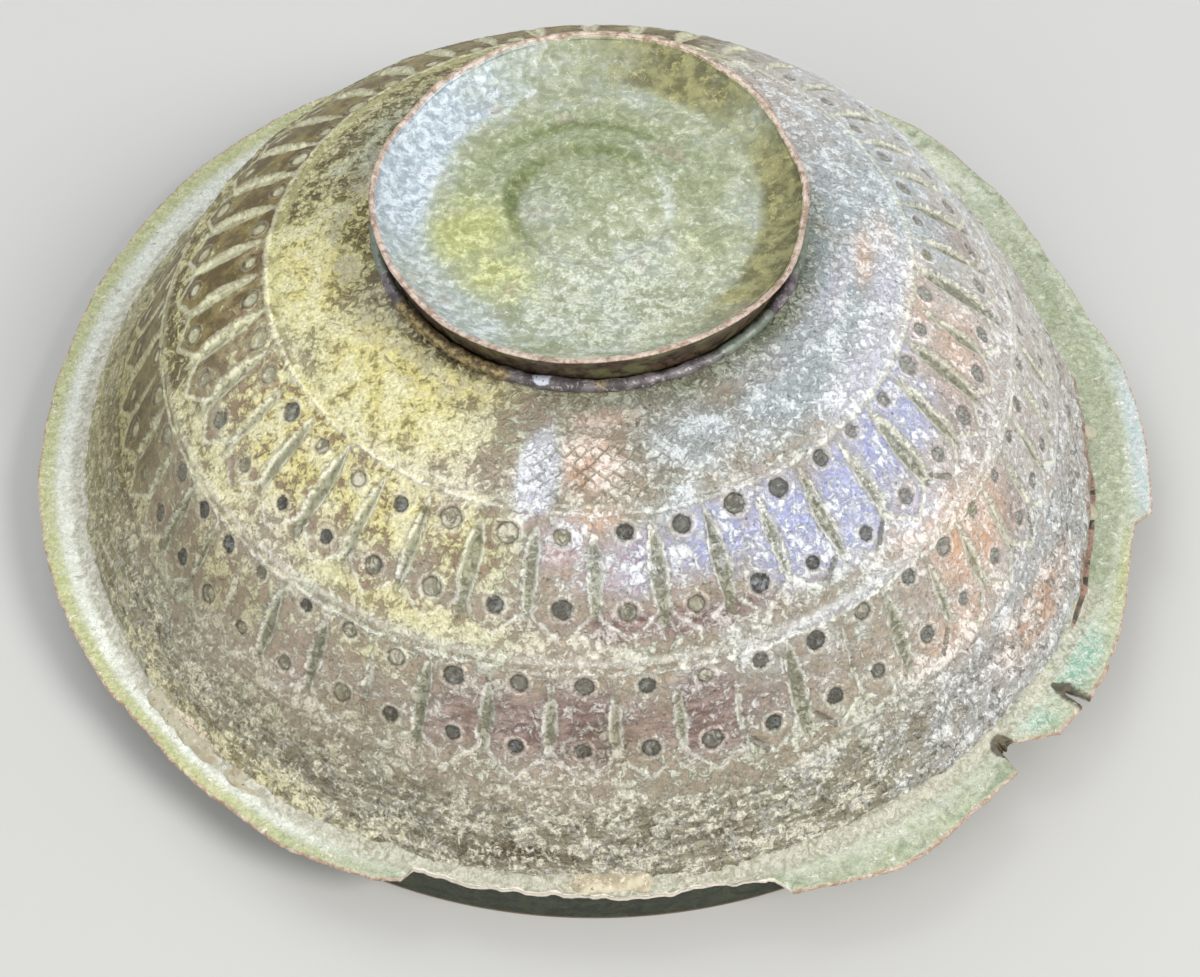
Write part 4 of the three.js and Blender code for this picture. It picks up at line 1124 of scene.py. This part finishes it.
def make_rim():
    angles, radii, heights = cad_edge("rim_ring", COLLAR_RADIUS + 0.2, COLLAR_HEIGHT + 0.5, 0.0)
    azimuth = rim_azimuths(angles)
    degrees = degrees_from(azimuth)
    spots = around(azimuth, COLLAR_RADIUS, 0)
    edge = np.interp(azimuth, angles, radii, period=FULL_TURN)
    edge = edge + 0.16 * rugged(spots, 5, 31) + 0.09 * rugged(spots, 1.3, 32)
    edge += plateau(degrees, *TORN_FRONT) * 0.3 * rugged(spots, 2.0, 33)
    edge = np.maximum(edge, COLLAR_RADIUS + 0.25)
    reach = edge - COLLAR_RADIUS
    wave = np.interp(azimuth, angles, heights, period=FULL_TURN) - FLANGE_TOP
    wave += 0.1 * lumps(spots, 9, 34)
    thin = 1.0 + 0.12 * rugged(spots, 3.5, 35)
    fillet = 1.15 * smooth_step(degrees, 67, 62) + 1.0 * smooth_step(degrees, 92, 100)
    fillet = np.clip(fillet, 0, 1.15)

    def mouth_corner(azimuth):
        """Radius where the bowl's wall meets the flange."""
        return MOUTH_RADIUS + along_outline(MOUTH_OUTLINE, azimuth) + BOWL_OFFSET * np.sin(azimuth)

    def sag(radius):
        return wave * np.clip((radius - COLLAR_RADIUS) / reach, 0, 1)

    def top(radius):
        """Height of the flange's upper face, with the crust that fills its corner."""
        climb = np.clip(1 - (radius - corner + 0.2) / 2.3, 0, 1) ** 2
        return FLANGE_TOP + sag(radius) + fillet * climb

    def under(radius):
        return FLANGE_TOP - thin + sag(radius)

    corner = mouth_corner(azimuth)
    inner = COLLAR_RADIUS - SHEET_RIM
    ledge = np.minimum(LEDGE_RADIUS, corner - 2.0)
    outwards = [COLLAR_RADIUS + reach * share for share in (0.12, 0.35, 0.6, 0.85)]
    inwards = [COLLAR_RADIUS + reach * share for share in (0.88, 0.72, 0.56, 0.42, 0.3, 0.18, 0.08)]
    inwards += [COLLAR_RADIUS - 0.1 + (ledge - COLLAR_RADIUS + 0.1) * share for share in np.arange(0, 1, 0.1)]
    rows = [(inner, 0.25), (inner + 0.3, 0), (COLLAR_RADIUS - 0.3, 0), (COLLAR_RADIUS, 0.3)]
    rows += [(COLLAR_RADIUS, height) for height in np.linspace(1.2, COLLAR_HEIGHT - 0.5, 8)]
    rows += [(radius, under(radius)) for radius in outwards]
    rows += [(edge - 0.2, under(edge)), (edge, under(edge) + thin * 0.3), (edge, top(edge) - thin * 0.3),
             (edge - 0.2, top(edge))]
    rows += [(radius, top(radius)) for radius in inwards]
    rows += [(ledge, FLANGE_TOP), (ledge, COLLAR_HEIGHT), (inner, COLLAR_HEIGHT)]
    piece = swept_mesh("torn_rim", azimuth, rows, 0.0)

    def crusty(points):
        turned = np.degrees(polar(points)[1])
        crust = hill(turned, 57, 6.0) + 0.4 * hill(turned, 40, 9.0)
        coarse, fine = rugged(points, 3.2, 41), rugged(points, 1.9, 42)
        return smooth_step(points[:, 2], 1.0, 2.5) * (0.07 * coarse + crust * 0.3 * fine)

    roughen(piece, crusty)
    cut_hole(piece)

    points = corners_of(piece)
    height = points[:, 2]
    radius, around_now = polar(points)
    turned = np.degrees(around_now)
    edge_here = np.interp(around_now % FULL_TURN, azimuth, edge, period=FULL_TURN)
    share = (radius - COLLAR_RADIUS) / np.maximum(edge_here - COLLAR_RADIUS, 0.5)
    on_top = smooth_step(height, COLLAR_HEIGHT + 0.2, COLLAR_HEIGHT + 0.7)
    left = smooth_step(turned, -10, -40)
    torn = plateau(turned, *TORN_FRONT)
    outer = smooth_step(edge_here - radius, 0.5, 0.1)
    outer = outer * smooth_step(height, COLLAR_HEIGHT - 0.4, COLLAR_HEIGHT)
    blue_green = np.maximum(hill(turned, 58, 5), 0.75 * hill(turned, 49, 3))
    hole = np.hypot(points[:, 0] - HOLE[0], points[:, 1] - HOLE[1])
    crack = hill(turned, 53.8, 1.2) * smooth_step(share, 0.1, 0.35)
    paint(
        piece,
        inner=on_top * smooth_step(share, 0.9, 0.35) * np.maximum(left, 0.45),
        lime=on_top * smooth_step(share, 0.35, 0.75) * np.maximum(left * 0.9, 0.7 * hill(turned, 70, 8)),
        turquoise=on_top * blue_green * smooth_step(share, 0.95, 0.6),
        lilac=on_top * plateau(turned, 73, 82, 90, 106) * smooth_step(share, 0.2, 0.8),
        crust=on_top * smooth_step(radius - COLLAR_RADIUS, 2.4, 0.2) * smooth_step(turned, 70, 64),
        # corner: painted shade on the flange next to the wall, on the right
        corner=on_top * smooth_step(share, 0.65, 0.1) * plateau(turned, 60, 68, 110, 140),
        # painted shade on all that lies under the flange
        collar=smooth_step(height, COLLAR_HEIGHT + 0.1, COLLAR_HEIGHT - 0.3),
        hem=smooth_step(height, 1.1, 0.4),
        edge_wear=outer * (1 - torn) * 0.9,
        # torn edge: bare metal and a painted highlight
        fresh=outer * torn,
        crevice=on_top * hill(radius - mouth_corner(around_now), 0.5, 0.45) * plateau(turned, 59, 63, 78, 86),
        rust=np.maximum(smooth_step(hole, 3.2, 1.2), crack) * on_top + smooth_step(hole, 1.6, 1.1))
    piece.data.materials.append(rim_material())
    return piece


def cut_hole(piece):
    """The corrosion hole through the flange, with a ragged outline."""
    sides = 26
    angle = columns_round(sides)
    draw = np.random.default_rng(5)
    reach = HOLE_RADIUS * (1 + 0.16 * np.sin(3 * angle + 1) + 0.1 * draw.normal(size=sides))
    x = HOLE[0] + reach * 1.25 * np.cos(angle)
    y = HOLE[1] + reach * np.sin(angle)
    levels = COLLAR_HEIGHT - 3, COLLAR_HEIGHT + 5
    points = np.concatenate([np.stack([x, y, np.full(sides, z)], 1) for z in levels])
    j = np.arange(sides)
    faces = np.stack([j, (j + 1) % sides, (j + 1) % sides + sides, j + sides], 1).tolist()
    faces += [list(range(sides))[::-1], list(range(sides, 2 * sides))]
    cutter = new_mesh("hole_cutter", points, faces)
    cut = piece.modifiers.new("hole", "BOOLEAN")
    cut.operation = "DIFFERENCE"
    cut.solver = "EXACT"
    cut.object = cutter
    graph = bpy.context.evaluated_depsgraph_get()
    cut_mesh = bpy.data.meshes.new_from_object(piece.evaluated_get(graph))
    piece.modifiers.clear()
    piece.data = cut_mesh
    piece.data.materials.clear()
    bpy.data.objects.remove(cutter)


FOOT_HEIGHT = FOOT_TOP - FOOT_BASE
FOOT_ANGLES, FOOT_RADII, _ = cad_edge("foot_ring", 0, FOOT_TOP - 0.2, BOWL_OFFSET)


def foot_radius(azimuth, height):
    """Radius of the foot's outer face at a height over its base."""
    flare = np.interp(azimuth, FOOT_ANGLES, FOOT_RADII, period=FULL_TURN) - NECK_RADIUS
    return NECK_RADIUS + flare * np.clip(height / FOOT_HEIGHT, 0, 1) ** FOOT_FLARE


def make_foot():
    azimuth = columns_round(FOOT_COLUMNS)
    spots = around(azimuth, NECK_RADIUS, 0)
    thick = FOOT_THICKNESS * (0.9 + 0.12 * lumps(spots, 6, 51))
    sway = 0.18 * lumps(spots, 12, 52)
    nick = -0.35 * np.exp(-((np.degrees(azimuth) - 88) / 1.6) ** 2)
    outer = [(foot_radius(azimuth, share * FOOT_HEIGHT) + sway * share, FOOT_BASE + share * FOOT_HEIGHT)
             for share in (0, 0.12, 0.25, 0.4, 0.55, 0.7, 0.82, 0.92, 0.97)]
    tip = foot_radius(azimuth, FOOT_HEIGHT) + sway + nick
    edge = [(tip, FOOT_TOP - 0.28), (tip - 0.12, FOOT_TOP - 0.08), (tip - thick * 0.5, FOOT_TOP),
            (tip - thick + 0.12, FOOT_TOP - 0.08), (tip - thick, FOOT_TOP - 0.3)]
    inner = [(radius - thick, height) for radius, height in reversed(outer)]
    piece = swept_mesh("flared_foot", azimuth, outer + edge + inner, BOWL_OFFSET)
    roughen(piece, lambda points: 0.05 * rugged(points, 1.8, 53))
    radius, around_now = paint_dish(piece)
    height = corners_of(piece)[:, 2]
    face = foot_radius(around_now, height - FOOT_BASE)
    # outside: the foot's outer face, painted dark as shade under the lip
    paint(piece, lip=smooth_step(height, FOOT_TOP - 0.4, FOOT_TOP - 0.12),
          outside=smooth_step(radius - face, -0.75, -0.35))
    piece.data.materials.append(dish_material("tinned_foot_sheet"))
    return piece


def make_fillet():
    """Inner solder fillet: from a thin lip on the floor up the inner face of the foot."""
    azimuth = columns_round(FILLET_COLUMNS)
    rise = FILLET_RISE + 0.6
    top = FLOOR_HEIGHT + rise - FOOT_BASE
    inside_top = foot_radius(azimuth, top) - FOOT_THICKNESS * 0.9
    lip = FILLET_LIP_RADIUS + 0.5 * lumps(around(azimuth, NECK_RADIUS, 0), 7, 61)
    rows = [(foot_radius(azimuth, height) - FOOT_THICKNESS * 0.75, FOOT_BASE + height)
            for height in np.linspace(0.3, top, 8)]
    rows += [(inside_top + (lip - inside_top) * share, FLOOR_HEIGHT + 0.03 + rise * (1 - share) ** 2.6)
             for share in np.linspace(0, 1, 20)[1:] ** 1.3]
    rows += [(lip - 1.2, FLOOR_HEIGHT - 0.2), (lip + 2.2, FLOOR_HEIGHT - 0.7), (29.4, FLOOR_HEIGHT - 2.6),
             (31.5, FLOOR_HEIGHT - 3.6)]
    piece = swept_mesh("foot_fillet", azimuth, rows, BOWL_OFFSET)

    def uneven(points):
        fade = smooth_step(polar(points, BOWL_OFFSET)[0], 25.5, 28)
        return fade * (0.1 * rugged(points, 3.0, 62) + 0.12 * lumps(points, 9, 63))

    roughen(piece, uneven)
    paint_dish(piece)
    paint(piece, lip=0, outside=0)
    piece.data.materials.append(dish_material("tinned_fillet"))
    return piece


def make_bead():
    azimuth = columns_round(BEAD_COLUMNS)
    centre = NECK_RADIUS + BEAD_RADIUS + 0.45
    middle = wall_section(np.interp(centre, CURVE_RADIUS, CURVE_ALONG), BEAD_RADIUS)[1]
    swell = BEAD_RADIUS * (1.05 + 0.14 * rugged(around(azimuth, NECK_RADIUS, 0), 4, 55))
    rows = [(centre + swell * math.cos(angle), middle + swell * math.sin(angle))
            for angle in columns_round(BEAD_SIDES)]
    piece = swept_mesh("neck_bead", azimuth, rows, BOWL_OFFSET)
    roughen(piece, lambda points: 0.16 * rugged(points, 1.7, 56))
    points = corners_of(piece)
    turned = np.degrees(polar(points, BOWL_OFFSET)[1])
    paint(
        piece,
        # painted highlight on the top of the bead, at the front left
        bright=smooth_step(points[:, 2], middle, middle + 0.7) * 0.9 * hill(turned, -12, 2.6),
        tan=np.maximum(hill(turned, -40, 22), 0.5 * hill(turned, 5, 6)),
        green=np.maximum(0.8 * hill(turned, 45, 16), smooth_step(np.abs(turned), 60, 80)))
    piece.data.materials.append(bead_material())
    return piece


def make_seam(name, start, end, height, width, grey, seed):
    """A length of lumpy solder in the corner between the wall's mouth and the flange."""
    degrees = np.linspace(start, end, max(int((end - start) * 4), 12))
    azimuth = np.radians(degrees)
    ends = np.clip(np.minimum(degrees - start, end - degrees) / min(1.2, (end - start) / 2.2), 0, 1)
    size = np.sqrt(np.clip(ends * (2 - ends), 0.02, 1))
    ragged = 1 + 0.22 * rugged(around(azimuth, MOUTH_RADIUS, 0), 3, seed)
    wall = MOUTH_RADIUS + along_outline(MOUTH_OUTLINE, azimuth) - 0.35
    base = FLANGE_TOP - 0.1
    lean = MOUTH_LEAN * height * size
    rows = [(wall + (width * across * ragged - lean * up) * size, base + height * up * size * ragged)
            for across, up in SEAM_PROFILE]
    piece = swept_mesh(name, azimuth, rows, BOWL_OFFSET, closed=False)
    roughen(piece, lambda points: 0.1 * rugged(points, 1.6, seed + 1))
    paint(piece, grey=grey)
    return piece


def add_piece(piece, node):
    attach(piece, "root" if "root" in frame["bodies"] else next(iter(frame["bodies"])))
    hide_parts(node)


def add_object():
    add_piece(make_bowl(), "bowl_body")
    add_piece(make_foot(), "foot_ring")
    add_piece(make_fillet(), "foot_solder")
    add_piece(make_bead(), "foot_bead")
    add_piece(make_rim(), "rim_ring")
    solder = solder_material()
    for name, node, *shape in SEAMS:
        piece = make_seam(name, *shape)
        piece.data.materials.append(solder)
        add_piece(piece, node)


def add_camera():
    elevation = math.radians(CAMERA_ELEVATION)
    data = bpy.data.cameras.new("camera")
    data.lens = CAMERA_LENS
    data.sensor_width = SENSOR_WIDTH
    data.clip_start = 0.01
    camera = add_to_scene("camera", data)
    back = Vector((0, -math.cos(elevation), math.sin(elevation)))
    place = (Vector(CAMERA_AIM) + back * CAMERA_DISTANCE) * MM
    turn = back.to_track_quat("Z", "Y").to_matrix() @ Matrix.Rotation(math.radians(CAMERA_ROLL), 3, "Z")
    camera.matrix_world = Matrix.Translation(place) @ turn.to_4x4()
    bpy.context.scene.camera = camera


def add_lamp(name, azimuth, elevation, size, power, colour):
    data = bpy.data.lights.new(name, "AREA")
    data.shape = "DISK"
    data.size = size
    data.energy = power
    data.color = colour
    lamp = add_to_scene(name, data)
    a, e = math.radians(azimuth), math.radians(elevation)
    away = Vector((math.sin(a) * math.cos(e), -math.cos(a) * math.cos(e), math.sin(e)))
    turn = away.to_track_quat("Z", "Y").to_matrix().to_4x4()
    lamp.matrix_world = Matrix.Translation(away * LAMP_DISTANCE) @ turn


def add_studio():
    mesh = bpy.data.meshes.new("floor")
    corners = [(x * FLOOR_HALF, y * FLOOR_HALF, 0) for x, y in ((-1, -1), (1, -1), (1, 1), (-1, 1))]
    mesh.from_pydata(corners, [], [(0, 1, 2, 3)])
    floor = add_to_scene("floor", mesh)
    material = bpy.data.materials.new("pale_floor")
    material.use_nodes = True
    shader = material.node_tree.nodes["Principled BSDF"]
    shader.inputs["Base Color"].default_value = linear(FLOOR_COLOUR)
    shader.inputs["Roughness"].default_value = 0.9
    shader.inputs["Specular IOR Level"].default_value = 0.2
    mesh.materials.append(material)
    world = bpy.data.worlds.new("studio")
    world.use_nodes = True
    background = world.node_tree.nodes["Background"]
    background.inputs["Color"].default_value = WORLD_COLOUR
    background.inputs["Strength"].default_value = WORLD_STRENGTH
    bpy.context.scene.world = world
    for lamp in LAMPS:
        add_lamp(*lamp)
    bpy.context.scene.view_settings.view_transform = "Standard"


add_camera()
add_studio()
add_object()


def plain(bounds):
    return [list(corner) for corner in bounds]
